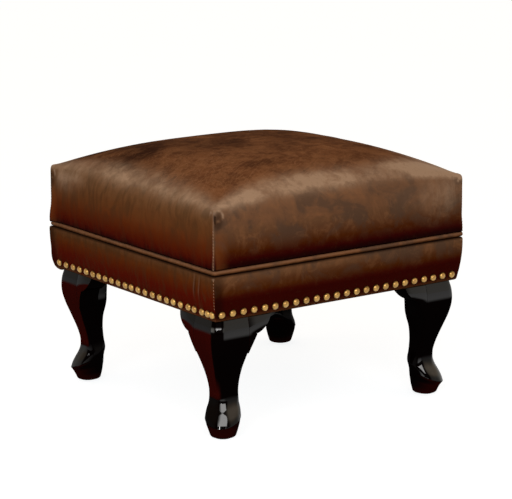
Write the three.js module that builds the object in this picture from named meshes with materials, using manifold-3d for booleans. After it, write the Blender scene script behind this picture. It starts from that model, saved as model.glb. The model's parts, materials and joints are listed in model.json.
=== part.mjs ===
// Upholstered footstool: a square leather seat with a domed cushion, a nail-studded border
// and four cabriole legs. Units are millimetres and Z is up. The origin is on the floor,
// under the middle of the seat. The front faces -Y and the left side faces -X.

import * as THREE from "three";
import Module from "manifold-3d";
import { mergeVertices } from "three/addons/utils/BufferGeometryUtils.js";

const wasm = await Module();
wasm.setup();

// Driving dimensions of the whole stool
const seatWidth = 533; // over the welt, left to right
const seatDepth = 533; // over the welt, front to back
const legLength = 206.2; // the wood of a leg, without its glide
const railHeight = 78.5;
const cushionWallHeight = 104; // from the welt to a top corner of the cushion
const edgeArch = 15; // rise of the cushion's edge from a corner to the middle of a side
const crownHeight = 54; // rise of the cushion from a corner to its middle

const fitGap = 0.3; // between pieces that rest on or in each other
const cutOverrun = 4; // how far a cutting solid runs past what it cuts

// Glides under the feet
const glideRadius = 15;
const glideThickness = 1.4;
const glideEdge = 0.5;
const glidePinRadius = 2;
const glidePinLength = 9;

// Legs: shares of the blank's width across, and of the leg's length in height. Tilt is how far
// a section dips at the toe, and rises at the heel.
const legBlank = 66;
const legStationShares = [
  { height: 0.162, outer: 0.45, inner: -0.455, ridge: 0.385, side: 0.435, heel: 0.435, tilt: 0.06 },
  { height: 0.193, outer: 0.408, inner: -0.458, ridge: 0.36, side: 0.4, heel: 0.41, tilt: 0.05 },
  { height: 0.222, outer: 0.342, inner: -0.457, ridge: 0.315, side: 0.335, heel: 0.365, tilt: 0.038 },
  { height: 0.261, outer: 0.256, inner: -0.446, ridge: 0.265, side: 0.25, heel: 0.3, tilt: 0.022 },
  { height: 0.304, outer: 0.205, inner: -0.424, ridge: 0.235, side: 0.165, heel: 0.235, tilt: 0.009 },
  { height: 0.35, outer: 0.195, inner: -0.403, ridge: 0.22, side: 0.125, heel: 0.215, tilt: 0 },
  { height: 0.4, outer: 0.208, inner: -0.388, ridge: 0.215, side: 0.105, heel: 0.205, tilt: 0 },
  { height: 0.482, outer: 0.268, inner: -0.378, ridge: 0.215, side: 0.09, heel: 0.2, tilt: 0 },
  { height: 0.581, outer: 0.366, inner: -0.39, ridge: 0.225, side: 0.07, heel: 0.18, tilt: 0 },
  { height: 0.66, outer: 0.448, inner: -0.428, ridge: 0.235, side: 0.05, heel: 0.15, tilt: 0 },
  { height: 0.72, outer: 0.504, inner: -0.447, ridge: 0.245, side: 0.04, heel: 0.12, tilt: 0 },
  { height: 0.79, outer: 0.549, inner: -0.447, ridge: 0.25, side: 0.03, heel: 0.09, tilt: 0 },
  { height: 0.86, outer: 0.562, inner: -0.447, ridge: 0.25, side: 0.02, heel: 0.06, tilt: 0 },
  { height: 0.93, outer: 0.542, inner: -0.447, ridge: 0.245, side: 0.02, heel: 0.05, tilt: 0 },
  { height: 1, outer: 0.488, inner: -0.447, ridge: 0.23, side: 0.02, heel: 0.03, tilt: 0 },
];
const footTaperShares = [
  { height: 0, toe: 0.285, heel: 0.315, tilt: 0 },
  { height: 0.01, toe: 0.315, heel: 0.345, tilt: 0 },
  { height: 0.05, toe: 0.355, heel: 0.39, tilt: 0.016 },
  { height: 0.11, toe: 0.414, heel: 0.435, tilt: 0.04 },
];
const kneeSetback = 0.3; // of the knee from the foot of the border

// Knee blocks beside each leg, under the rails
const kneeBlockReach = 46; // along the rail, from the leg
const kneeBlockThickness = 40;
const kneeBlockHeight = 62;
const kneeBlockTip = 1.5; // width left at its lowest point
const kneeWaist = 15.5; // width left under the lobe
const kneeHollow = 6.5; // width that the curve under the waist heads for
const kneeLobeHeight = 29;
const kneeLobeStep = 2;
const lobePowerShare = 1.5; // 2 gives an ellipse, less a flatter curve

// Hanger bolts that hold the legs
const boltRadius = 4;
const boltInLeg = 45;
const boltPoint = 6;
const boltEnd = 5; // length that shows past the nut
const washerRadius = 9;
const washerThickness = 1.6;
const nutAcrossFlats = 13;
const nutHeight = 6.5;
const boltEdge = 3; // from the washer to the rails

// Frame
const railThickness = 22;
const cornerBlockReach = 95;
const cornerBlockThickness = 38;
const cornerBlockTip = 12;

// Webbing, woven over the frame
const strapsEachWay = 3;
const strapWidth = 70;
const strapThickness = 2;
const strapRamp = 18; // length in which a strap rises over the one it crosses
const strapEndInset = 5; // of a strap's end from the outer face of its rail

// Border: leather over wadding, tucked in towards its foot
const leatherThickness = 1.4;
const borderTuck = 7.5;
const borderTuckPower = 2.2;
const borderTopInset = 0.5;
const borderTurnUnder = 26;
const borderWaddingLeast = 1.5;
const dustCoverThickness = 0.8;
const dustCoverInset = 9; // from the foot of the border

// Dome-headed nails along the foot of the border
const nailsEachSide = 24;
const nailHeadRadius = 6.1;
const nailHeadHeight = 5.6;
const nailLine = 12; // above the foot of the border
const nailSeat = 0.6; // how far the rim of a head is pressed into the leather
// The left row is set by eye: shares of half the side, from the back to the front
const leftNailShares = [
  -0.934, -0.84, -0.743, -0.653, -0.564, -0.477, -0.395, -0.312, -0.23, -0.144, -0.056, 0.022,
  0.106, 0.192, 0.283, 0.367, 0.452, 0.531, 0.615, 0.703, 0.774, 0.858, 0.92, 0.97,
];
// The front row is even, but drawn in and moved to the left, in the same shares
const frontRowSpanShare = 0.985;
const frontRowShiftShare = -0.009;

// Welt between border and cushion
const weltRadius = 3.5;
const weltTail = 5;
const weltTailThickness = 1;
const weltBend = 2; // inner radius left at the end of the tail round a corner
const weltRise = 2.8; // its middle above the rails

// Cushion
const cushionInset = 1.2; // of its side from the welt
const cushionBulge = 3; // of its side, halfway up
const cushionPlanCorner = 4.5;
const cornerSeamDepth = 1.2;
const crownPowerShare = 3.3; // a higher power flattens the top and rounds its edges more
const shoulderAtCorner = 10;
const shoulderAtMiddle = 47;
const hessianThickness = 0.6;
const hessianInset = 14;
const waddingThickness = 15;

// Heights, from the floor up
const legBase = glideThickness + fitGap;
const legTop = legBase + legLength;
const dustCoverBottom = legTop + fitGap;
const borderBottom = dustCoverBottom + dustCoverThickness + fitGap;
const railBottom = borderBottom + leatherThickness + fitGap;
const railTop = railBottom + railHeight;
const weltHeight = railTop + weltRise;
const borderTop = weltHeight - weltRadius - fitGap;
const coverBottom = weltHeight + weltRadius + fitGap;
const cushionCorner = weltHeight + cushionWallHeight;
const strapLow = railTop + fitGap;
const strapHigh = strapLow + strapThickness + fitGap;
const hessianBottom = strapHigh + strapThickness + fitGap;
const foamBottom = hessianBottom + hessianThickness + fitGap;
const waddingBottom = Math.max(foamBottom, coverBottom);

// Places, from the middle out
const halfWidth = seatWidth / 2;
const halfDepth = seatDepth / 2;
const borderFootInset = borderTopInset + borderTuck;
const railInset = borderFootInset + leatherThickness + fitGap;
const railInnerX = halfWidth - railInset - railThickness;
const railInnerY = halfDepth - railInset - railThickness;
const kneeShare = Math.max(...legStationShares.map((station) => station.outer));
const legInset = borderFootInset + kneeSetback + kneeShare * legBlank;
const legX = halfWidth - legInset;
const legY = halfDepth - legInset;
const boltX = railInnerX - washerRadius - boltEdge;
const boltY = railInnerY - washerRadius - boltEdge;

// Facets
const boltFacets = 12;
const glideFacets = 16;
const nailFacets = 8;
const legCornerSteps = 4;
const legRings = 22;
const kneeLobeFacets = 10;
const borderSteps = 8;
const cushionSteps = { sideSteps: 8, wallSteps: 2, shoulderSteps: 3, topSteps: 4 };
const foamSteps = { sideSteps: 4, wallSteps: 1, shoulderSteps: 2, topSteps: 2 };

const material = (color, roughness, metalness = 0) =>
  new THREE.MeshStandardMaterial({ color, roughness, metalness });
const leather = material(0x54301b, 0.42);
const darkWood = material(0x1c0705, 0.2);
const paleWood = material(0xb98f5e, 0.75);
const steel = material(0x9a9c9e, 0.4, 1);
const foam = material(0xe6d9a8, 0.95);
const wadding = material(0xe9e7e2, 0.98);
const jute = material(0xa98f63, 0.95);
const blackCloth = material(0x17171a, 0.95);
const nylon = material(0x1f1a17, 0.6);

const stool = new THREE.Group();
stool.name = "footstool";

// Adds a named mesh to a group, with a finish of its own
function add(parent, name, geometry, finish) {
  const mesh = new THREE.Mesh(geometry, finish.clone());
  mesh.name = name;
  parent.add(mesh);
  return mesh;
}

// Turns a closed geometry into a solid that can be cut and joined
function solidOf(geometry) {
  const bare = new THREE.BufferGeometry();
  bare.setAttribute("position", geometry.getAttribute("position"));
  bare.setIndex(geometry.index);
  const merged = mergeVertices(bare);
  return new wasm.Manifold(
    new wasm.Mesh({
      numProp: 3,
      vertProperties: merged.getAttribute("position").array,
      triVerts: new Uint32Array(merged.index.array),
    }),
  );
}

// Turns a solid back into a geometry
function geometryOf(solid) {
  const mesh = solid.getMesh();
  const geometry = new THREE.BufferGeometry();
  const places = new Float32Array(mesh.vertProperties);
  geometry.setAttribute("position", new THREE.BufferAttribute(places, 3));
  geometry.setIndex(new THREE.BufferAttribute(new Uint32Array(mesh.triVerts), 1));
  geometry.computeVertexNormals();
  return geometry;
}

const cut = (body, ...tools) =>
  geometryOf(tools.reduce((left, tool) => left.subtract(solidOf(tool)), solidOf(body)));

// Moves a geometry by a matrix, and keeps its faces pointing out if the matrix mirrors it
function placed(geometry, matrix) {
  const moved = geometry.clone().applyMatrix4(matrix);
  if (matrix.determinant() < 0) {
    const order = moved.index.array;
    for (let i = 0; i < order.length; i += 3) {
      [order[i + 1], order[i + 2]] = [order[i + 2], order[i + 1]];
    }
  }
  return moved;
}

const alongAxes = (x, y, z) => new THREE.Matrix4().makeBasis(x, y, z);
const axisX = new THREE.Vector3(1, 0, 0);
const axisY = new THREE.Vector3(0, 1, 0);
const axisZ = new THREE.Vector3(0, 0, 1);

// Skins a list of rings of equal length into one closed body; both ends close on a fan
function loft(rings) {
  const count = rings[0].length;
  const points = rings.flat();
  const faces = [];
  for (let r = 0; r + 1 < rings.length; r++) {
    for (let i = 0; i < count; i++) {
      const a = r * count + i;
      const b = r * count + ((i + 1) % count);
      faces.push(a, b, b + count, a, b + count, a + count);
    }
  }
  const middle = (ring) =>
    ring.reduce((sum, p) => sum.add(p), new THREE.Vector3()).divideScalar(count);
  const first = points.push(middle(rings[0])) - 1;
  const last = points.push(middle(rings[rings.length - 1])) - 1;
  const top = (rings.length - 1) * count;
  for (let i = 0; i < count; i++) {
    const next = (i + 1) % count;
    faces.push(first, next, i, last, top + i, top + next);
  }
  const geometry = new THREE.BufferGeometry().setFromPoints(points);
  geometry.setIndex(faces);
  geometry.computeVertexNormals();
  return geometry;
}

// A block with its corners given by its lowest and highest point
function block(low, high) {
  const size = new THREE.Vector3().subVectors(high, low);
  const middle = new THREE.Vector3().addVectors(low, high).divideScalar(2);
  return new THREE.BoxGeometry(size.x, size.y, size.z).translate(middle.x, middle.y, middle.z);
}

// A round upright rod from bottom to top
function rod(radius, bottom, top, facets = boltFacets) {
  const length = top - bottom;
  const geometry = new THREE.CylinderGeometry(radius, radius, length, facets);
  return geometry.rotateX(Math.PI / 2).translate(0, 0, bottom + length / 2);
}

// A turned body about Z, from a profile of radius and height that starts and ends on the axis
function turned(profile, facets) {
  const points = profile.map(([radius, height]) => new THREE.Vector2(radius, height));
  return new THREE.LatheGeometry(points, facets).rotateX(Math.PI / 2);
}

// The four corners: a name and the sign of X and Y
const corners = [
  ["front_left", -1, -1],
  ["front_right", 1, -1],
  ["back_left", -1, 1],
  ["back_right", 1, 1],
];

// The four sides: a name, the half length of the side, and the place of a point that lies
// along the side, inset from its outer face, at a height
const sides = [
  ["front", halfWidth, (a, inset, z) => new THREE.Vector3(a, inset - halfDepth, z)],
  ["right", halfDepth, (a, inset, z) => new THREE.Vector3(halfWidth - inset, a, z)],
  ["back", halfWidth, (a, inset, z) => new THREE.Vector3(-a, halfDepth - inset, z)],
  ["left", halfDepth, (a, inset, z) => new THREE.Vector3(inset - halfWidth, -a, z)],
];

// Leg: a square blank sawn to the same cabriole curve on two sides, with eased corners

const legOutline = new THREE.CatmullRomCurve3(
  legStationShares.map(
    (s) => new THREE.Vector3(s.outer * legBlank, s.inner * legBlank, s.height * legLength),
  ),
  false,
  "catmullrom",
);
const legEasing = new THREE.CatmullRomCurve3(
  legStationShares.map(
    (s) => new THREE.Vector3(s.ridge * legBlank, s.side * legBlank, s.heel * legBlank),
  ),
  false,
  "catmullrom",
);

const legTilt = new THREE.CatmullRomCurve3(
  legStationShares.map((s) => new THREE.Vector3(s.tilt * legLength, s.tilt * legLength, 0)),
  false,
  "catmullrom",
);
const footReach = legStationShares[0].outer * legBlank;

// One section of the leg: a square from inner to outer, each corner with its own radius
function legSection(outer, inner, ridge, side, heel, height, tilt) {
  const ring = [];
  const quarter = Math.PI / 2;
  const sectionCorners = [
    [outer, inner, side],
    [outer, outer, ridge],
    [inner, outer, side],
    [inner, inner, heel],
  ];
  sectionCorners.forEach(([x, y, radius], turn) => {
    const middleX = x - Math.sign(x - (outer + inner) / 2) * radius;
    const middleY = y - Math.sign(y - (outer + inner) / 2) * radius;
    for (let step = 0; step <= legCornerSteps; step++) {
      const angle = (turn - 1 + step / legCornerSteps) * quarter;
      const spotX = middleX + radius * Math.cos(angle);
      const spotY = middleY + radius * Math.sin(angle);
      const toToe = (spotX + spotY) / (Math.SQRT2 * footReach);
      ring.push(new THREE.Vector3(spotX, spotY, height - tilt * toToe));
    }
  });
  return ring;
}

function legGeometry() {
  const rings = footTaperShares.map(({ height, toe, heel, tilt }) => {
    const round = ((toe + heel) / 2) * legBlank;
    const ends = [toe * legBlank, -heel * legBlank];
    return legSection(...ends, round, round, round, height * legLength, tilt * legLength);
  });
  for (let step = 0; step <= legRings; step++) {
    const outline = legOutline.getPoint(step / legRings);
    const easing = legEasing.getPoint(step / legRings);
    const tilt = legTilt.getPoint(step / legRings).x;
    rings.push(legSection(outline.x, outline.y, easing.x, easing.y, easing.z, outline.z, tilt));
  }
  const boltHole = rod(boltRadius + fitGap, legLength - boltInLeg - fitGap, legLength + cutOverrun);
  boltHole.translate(boltX - legX, boltY - legY, 0);
  const pinHole = rod(glidePinRadius + fitGap, -cutOverrun, glidePinLength + fitGap);
  return cut(loft(rings), boltHole, pinHole);
}

// Knee block: a scrolled bracket that carries the knee's face on along the rail
function kneeBlockGeometry() {
  const legSide = legStationShares[legStationShares.length - 1].inner * legBlank - fitGap;
  const top = legLength;
  const bottom = top - kneeBlockHeight;
  const waistTop = top - kneeLobeHeight - kneeLobeStep;
  const scroll = new THREE.Shape();
  scroll.moveTo(0, bottom);
  scroll.lineTo(kneeBlockTip, bottom);
  scroll.quadraticCurveTo(kneeHollow, (bottom + waistTop) / 2, kneeWaist, waistTop);
  scroll.lineTo(kneeWaist, top - kneeLobeHeight);
  for (let step = 1; step < kneeLobeFacets; step++) {
    const angle = (Math.PI / 2) * (step / kneeLobeFacets);
    const across = Math.pow(Math.sin(angle), 2 / lobePowerShare);
    const down = Math.pow(Math.cos(angle), 2 / lobePowerShare);
    scroll.lineTo(kneeWaist + (kneeBlockReach - kneeWaist) * across, top - kneeLobeHeight * down);
  }
  scroll.lineTo(kneeBlockReach, top);
  scroll.lineTo(0, top);
  const throughDepth = kneeBlockThickness + legBlank;
  const sawn = new THREE.ExtrudeGeometry(scroll, {
    depth: throughDepth,
    bevelEnabled: false,
    curveSegments: 6,
  });
  const backX = axisX.clone().negate();
  sawn.applyMatrix4(alongAxes(backX, axisZ, axisY));
  sawn.translate(legSide, -kneeBlockThickness, 0);

  const face = [];
  for (let step = 0; step <= legRings; step++) {
    const p = legOutline.getPoint(step / legRings);
    if (p.z > bottom - legLength / legRings) face.push(new THREE.Vector2(p.x, p.z));
  }
  face.push(new THREE.Vector2(face[face.length - 1].x, top + cutOverrun));
  const backs = [...face].reverse().map((p) => new THREE.Vector2(p.x - kneeBlockThickness, p.y));
  const planed = new THREE.ExtrudeGeometry(new THREE.Shape([...face, ...backs]), {
    depth: kneeBlockReach + cutOverrun + cutOverrun,
    bevelEnabled: false,
  });
  planed.applyMatrix4(alongAxes(axisY, axisZ, axisX));
  planed.translate(legSide - kneeBlockReach - cutOverrun, 0, 0);
  return geometryOf(solidOf(sawn).intersect(solidOf(planed)));
}

function addLegs() {
  const leg = legGeometry();
  const alongX = kneeBlockGeometry();
  const alongY = placed(alongX, alongAxes(axisY, axisX, axisZ));
  const edge = glideRadius - glideEdge;
  const glide = turned(
    [
      [0, 0],
      [edge, 0],
      [glideRadius, glideEdge],
      [glideRadius, glideThickness],
      [glidePinRadius, glideThickness],
      [glidePinRadius, glideThickness + glidePinLength],
      [0, glideThickness + glidePinLength],
    ],
    glideFacets,
  );
  for (const [corner, signX, signY] of corners) {
    const group = new THREE.Group();
    group.position.set(signX * legX, signY * legY, legBase);
    group.scale.set(signX, signY, 1);
    stool.add(group);
    const [frontOrBack, leftOrRight] = corner.split("_");
    add(group, `leg_${corner}`, leg, darkWood);
    add(group, `knee_block_${corner}_on_${frontOrBack}`, alongX, darkWood);
    add(group, `knee_block_${corner}_on_${leftOrRight}`, alongY, darkWood);
    add(stool, `glide_${corner}`, glide, nylon).position.set(signX * legX, signY * legY, 0);
  }
}

// Bolts, washers and nuts, on the corner blocks

function addCornerBlocksAndBolts() {
  const blockTop = railBottom + cornerBlockThickness;
  const washerBottom = blockTop + fitGap;
  const nutBottom = washerBottom + washerThickness + fitGap;
  const boltBottom = legTop - boltInLeg;
  const boltTop = nutBottom + nutHeight + boltEnd;
  const thread = boltRadius / 2;
  const bolt = turned(
    [
      [0, boltBottom],
      [thread / 2, boltBottom],
      [boltRadius, boltBottom + boltPoint],
      [boltRadius, boltTop - thread / 2],
      [boltRadius - thread / 2, boltTop],
      [0, boltTop],
    ],
    boltFacets,
  );
  const boltHole = () => new THREE.Path().absarc(0, 0, boltRadius + fitGap, 0, 2 * Math.PI, true);
  const flat = { bevelEnabled: false, curveSegments: boltFacets };

  const washerShape = new THREE.Shape().absarc(0, 0, washerRadius, 0, 2 * Math.PI, false);
  washerShape.holes.push(boltHole());
  const washer = new THREE.ExtrudeGeometry(washerShape, { ...flat, depth: washerThickness });

  const nutCorner = nutAcrossFlats / Math.sqrt(3);
  const nutShape = new THREE.Shape(
    Array.from({ length: 6 }, (_, i) => {
      const angle = (i * Math.PI) / 3;
      return new THREE.Vector2(nutCorner * Math.cos(angle), nutCorner * Math.sin(angle));
    }),
  );
  nutShape.holes.push(boltHole());
  const nut = new THREE.ExtrudeGeometry(nutShape, { ...flat, depth: nutHeight });

  // Drawn with its square corner out and the bolt at its origin
  const outX = railInnerX - fitGap - boltX;
  const outY = railInnerY - fitGap - boltY;
  const blockShape = new THREE.Shape([
    new THREE.Vector2(outX, outY),
    new THREE.Vector2(outX - cornerBlockReach, outY),
    new THREE.Vector2(outX - cornerBlockReach, outY - cornerBlockTip),
    new THREE.Vector2(outX - cornerBlockTip, outY - cornerBlockReach),
    new THREE.Vector2(outX, outY - cornerBlockReach),
  ]);
  blockShape.holes.push(boltHole());
  const cornerBlock = new THREE.ExtrudeGeometry(blockShape, {
    ...flat,
    depth: cornerBlockThickness,
  });

  for (const [corner, signX, signY] of corners) {
    const group = new THREE.Group();
    group.position.set(signX * boltX, signY * boltY, 0);
    group.scale.set(signX, signY, 1);
    stool.add(group);
    add(group, `corner_block_${corner}`, cornerBlock, paleWood).position.z = railBottom;
    add(group, `hanger_bolt_${corner}`, bolt, steel);
    add(group, `washer_${corner}`, washer, steel).position.z = washerBottom;
    add(group, `nut_${corner}`, nut, steel).position.z = nutBottom;
  }
}

// Rails: front and back run the full width, the side rails fit between them
function addRails() {
  const outX = halfWidth - railInset;
  const outY = halfDepth - railInset;
  const sideEnd = railInnerY - fitGap;
  const rail = (name, x0, y0, x1, y1) =>
    add(
      stool,
      `rail_${name}`,
      block(new THREE.Vector3(x0, y0, railBottom), new THREE.Vector3(x1, y1, railTop)),
      paleWood,
    );
  rail("front", -outX, -outY, outX, -railInnerY);
  rail("back", -outX, railInnerY, outX, outY);
  rail("left", -outX, -sideEnd, -railInnerX, sideEnd);
  rail("right", railInnerX, -sideEnd, outX, sideEnd);
}

// Webbing: straps stapled to the rails, woven over and under each other

// One strap seen from its edge, going over the straps at the given places
function strapGeometry(halfSpan, overAt) {
  const flatLength = strapWidth / 2 + fitGap;
  const path = [[-halfSpan, strapLow]];
  for (const place of overAt) {
    path.push([place - flatLength - strapRamp, strapLow]);
    path.push([place - flatLength, strapHigh]);
    path.push([place + flatLength, strapHigh]);
    path.push([place + flatLength + strapRamp, strapLow]);
  }
  path.push([halfSpan, strapLow]);
  const under = path.map(([a, z]) => new THREE.Vector2(a, z));
  const over = path.map(([a, z]) => new THREE.Vector2(a, z + strapThickness)).reverse();
  const strap = new THREE.ExtrudeGeometry(new THREE.Shape([...under, ...over]), {
    depth: strapWidth,
    bevelEnabled: false,
  });
  const across = axisY.clone().negate();
  return strap.applyMatrix4(alongAxes(axisX, axisZ, across)).translate(0, strapWidth / 2, 0);
}

function addWebbing() {
  const places = (inner) =>
    Array.from({ length: strapsEachWay }, (_, i) => {
      const share = (2 * (i + 1)) / (strapsEachWay + 1) - 1;
      return inner * share;
    });
  const acrossPlaces = places(railInnerX);
  const alongPlaces = places(railInnerY);
  const hold = railThickness - strapEndInset;
  const quarterTurn = Math.PI / 2;
  for (let i = 0; i < strapsEachWay; i++) {
    const overAcross = acrossPlaces.filter((_, j) => (i + j) % 2 === 0);
    const lengthwise = strapGeometry(railInnerX + hold, overAcross);
    lengthwise.translate(0, alongPlaces[i], 0);
    add(stool, `webbing_lengthwise_${i + 1}`, lengthwise, jute);

    const overAlong = alongPlaces.filter((_, j) => (i + j) % 2 === 1);
    const crosswise = strapGeometry(railInnerY + hold, overAlong);
    crosswise.rotateZ(quarterTurn).translate(acrossPlaces[i], 0, 0);
    add(stool, `webbing_crosswise_${i + 1}`, crosswise, jute);
  }
}

// Border: leather panels mitred at the corners, with their wadding and nails

// How far the leather's outer face is inset at a height
function borderInset(height) {
  const share = (height - borderBottom) / (borderTop - borderBottom);
  return borderTopInset + borderTuck * Math.pow(1 - share, borderTuckPower);
}

// A strip along one side: a closed profile of inset and height, drawn one unit long and then
// drawn out to a mitre at both ends
function mitredStrip(profile, [, halfLength, place]) {
  const outline = new THREE.Shape(profile.map(([inset, height]) => new THREE.Vector2(inset, height)));
  const strip = new THREE.ExtrudeGeometry(outline, { depth: 1, bevelEnabled: false });
  const points = strip.getAttribute("position");
  for (let i = 0; i < points.count; i++) {
    const inset = points.getX(i);
    const end = 2 * points.getZ(i) - 1;
    const spot = place(end * (halfLength - inset - fitGap), inset, points.getY(i));
    points.setXYZ(i, spot.x, spot.y, spot.z);
  }
  return strip;
}

// Heights from low to high, in even steps
const heights = (low, high, steps) =>
  Array.from({ length: steps + 1 }, (_, i) => low + ((high - low) * i) / steps);

// Places of the nails along a row, as shares of half its length
const evenNailShares = Array.from(
  { length: nailsEachSide },
  (_, i) => (2 * i + 1) / nailsEachSide - 1,
);
const setNailShares = {
  front: evenNailShares.map((share) => share * frontRowSpanShare + frontRowShiftShare),
  left: leftNailShares,
};

function borderGeometry(side) {
  const [name, halfLength, place] = side;
  const face = heights(borderBottom, borderTop, borderSteps);
  const flangeTop = borderBottom + leatherThickness;
  const flangeEnd = borderFootInset + borderTurnUnder;
  const profile = [
    ...face.map((z) => [borderInset(z), z]),
    ...face
      .slice(1)
      .reverse()
      .map((z) => [borderInset(z) + leatherThickness, z]),
    [borderFootInset + leatherThickness, flangeTop],
    [flangeEnd, flangeTop],
    [flangeEnd, borderBottom],
  ];
  let panel = solidOf(mitredStrip(profile, side));

  const nailHeight = borderBottom + nailLine;
  const rise = nailHeadRadius / 2;
  const lean = Math.atan(
    (borderInset(nailHeight - rise) - borderInset(nailHeight + rise)) / nailHeadRadius,
  );
  const nail = turned(
    [
      [0, -nailSeat],
      [nailHeadRadius, -nailSeat],
      [nailHeadRadius * Math.cos(Math.PI / 6), nailHeadHeight * Math.sin(Math.PI / 6)],
      [0, nailHeadHeight],
    ],
    nailFacets,
  );
  const inset = borderInset(nailHeight);
  const along = place(1, 0, 0).sub(place(0, 0, 0));
  const out = place(0, 0, 0).sub(place(0, 1, 0));
  const axis = out.clone().multiplyScalar(Math.cos(lean)).addScaledVector(axisZ, -Math.sin(lean));
  const up = new THREE.Vector3().crossVectors(axis, along);
  for (const share of setNailShares[name] ?? evenNailShares) {
    const spot = place(share * (halfLength - inset), inset, nailHeight);
    const stand = alongAxes(along, up, axis).setPosition(spot);
    panel = panel.add(solidOf(placed(nail, stand)));
  }
  return geometryOf(panel);
}

function borderWaddingGeometry(side) {
  const railFace = railInset - fitGap;
  const leatherBack = (z) => borderInset(z) + leatherThickness + fitGap;
  const face = heights(borderBottom, borderTop, borderSteps).filter(
    (z) => railFace - leatherBack(z) > borderWaddingLeast,
  );
  const profile = [
    ...face.map((z) => [leatherBack(z), z]),
    ...[...face].reverse().map((z) => [railFace, z]),
  ];
  return mitredStrip(profile, side);
}

function addBorder() {
  for (const side of sides) {
    add(stool, `border_${side[0]}`, borderGeometry(side), leather);
    add(stool, `border_wadding_${side[0]}`, borderWaddingGeometry(side), wadding);
  }
}

// Dust cover: black cloth stapled under the rails, pierced for the bolts
function addDustCover() {
  const x = halfWidth - borderFootInset - dustCoverInset;
  const y = halfDepth - borderFootInset - dustCoverInset;
  const sheet = new THREE.Shape([
    new THREE.Vector2(-x, -y),
    new THREE.Vector2(x, -y),
    new THREE.Vector2(x, y),
    new THREE.Vector2(-x, y),
  ]);
  for (const [, signX, signY] of corners) {
    const hole = new THREE.Path();
    hole.absarc(signX * boltX, signY * boltY, boltRadius + fitGap, 0, 2 * Math.PI, true);
    sheet.holes.push(hole);
  }
  const cloth = new THREE.ExtrudeGeometry(sheet, {
    depth: dustCoverThickness,
    bevelEnabled: false,
    curveSegments: boltFacets,
  });
  add(stool, "dust_cover", cloth.translate(0, 0, dustCoverBottom), blackCloth);
}

// Welt: a leather-covered cord with a sewn tail, in one ring round the seat
function addWelt() {
  const bend = weltRadius + weltTail + weltBend;
  const bendSteps = 5;
  const roundFacets = 10;
  const section = [];
  for (let i = 0; i <= roundFacets - 2; i++) {
    const angle = -Math.PI + ((i + 1) * 2 * Math.PI) / roundFacets;
    section.push([weltRadius * Math.cos(angle), weltRadius * Math.sin(angle)]);
  }
  const tailEnd = -weltRadius - weltTail;
  section.push([tailEnd, weltTailThickness / 2], [tailEnd, -weltTailThickness / 2]);

  const rings = [];
  const quarter = Math.PI / 2;
  const turns = [
    [1, -1, -quarter],
    [1, 1, 0],
    [-1, 1, quarter],
    [-1, -1, 2 * quarter],
  ];
  for (const [signX, signY, start] of turns) {
    const middleX = signX * (halfWidth - weltRadius - bend);
    const middleY = signY * (halfDepth - weltRadius - bend);
    for (let step = 0; step <= bendSteps; step++) {
      const angle = start + (quarter * step) / bendSteps;
      rings.push(
        section.map(([out, up]) => {
          const x = middleX + (bend + out) * Math.cos(angle);
          const y = middleY + (bend + out) * Math.sin(angle);
          return new THREE.Vector3(x, y, weltHeight + up);
        }),
      );
    }
  }
  const count = section.length;
  const faces = [];
  for (let r = 0; r < rings.length; r++) {
    const next = (r + 1) % rings.length;
    for (let i = 0; i < count; i++) {
      const j = (i + 1) % count;
      faces.push(r * count + i, next * count + i, next * count + j);
      faces.push(r * count + i, next * count + j, r * count + j);
    }
  }
  const geometry = new THREE.BufferGeometry().setFromPoints(rings.flat());
  geometry.setIndex(faces);
  geometry.computeVertexNormals();
  const facing = solidOf(geometry).volume() > 0;
  if (!facing) geometry.setIndex(faces.reverse());
  add(stool, "welt", geometry, leather);
}

// Cushion: crowned top, arched edges and drawn-in, seamed corners

// Rise of the top over a corner, at shares of the half width and half depth
function cushionRise(shareX, shareY) {
  const bowX = 1 - Math.pow(Math.abs(shareX), crownPowerShare);
  const bowY = 1 - Math.pow(Math.abs(shareY), crownPowerShare);
  return edgeArch * (bowX + bowY) + (crownHeight - 2 * edgeArch) * bowX * bowY;
}

// The plan of the cushion: one ring of points, each with its place, its outward direction
// and how near it is to the middle of a side (1) or to a corner (0)
function cushionPlan(offset, stepsEachSide) {
  const halfX = halfWidth - cushionInset - offset;
  const halfY = halfDepth - cushionInset - offset;
  const bend = Math.max(cushionPlanCorner - offset, fitGap);
  const ring = [];
  const turns = [
    [1, -1],
    [1, 1],
    [-1, 1],
    [-1, -1],
  ];
  turns.forEach(([signX, signY], turn) => {
    const middle = new THREE.Vector2(signX * (halfX - bend), signY * (halfY - bend));
    for (const part of [0, 0.5, 1]) {
      const angle = (turn - 1 + part) * (Math.PI / 2);
      const out = new THREE.Vector2(Math.cos(angle), Math.sin(angle));
      const reach = part === 0.5 ? bend - cornerSeamDepth : bend;
      ring.push({ at: middle.clone().addScaledVector(out, reach), out, mid: 0 });
    }
    const next = turns[(turn + 1) % turns.length];
    const start = ring[ring.length - 1];
    const end = new THREE.Vector2(next[0] * (halfX - bend), next[1] * (halfY - bend));
    end.addScaledVector(start.out, bend);
    for (let step = 1; step < stepsEachSide; step++) {
      const share = (1 - Math.cos((Math.PI * step) / stepsEachSide)) / 2;
      const along = 2 * share - 1;
      ring.push({ at: start.at.clone().lerp(end, share), out: start.out, mid: 1 - along * along });
    }
  });
  return { ring, halfX, halfY };
}

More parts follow.
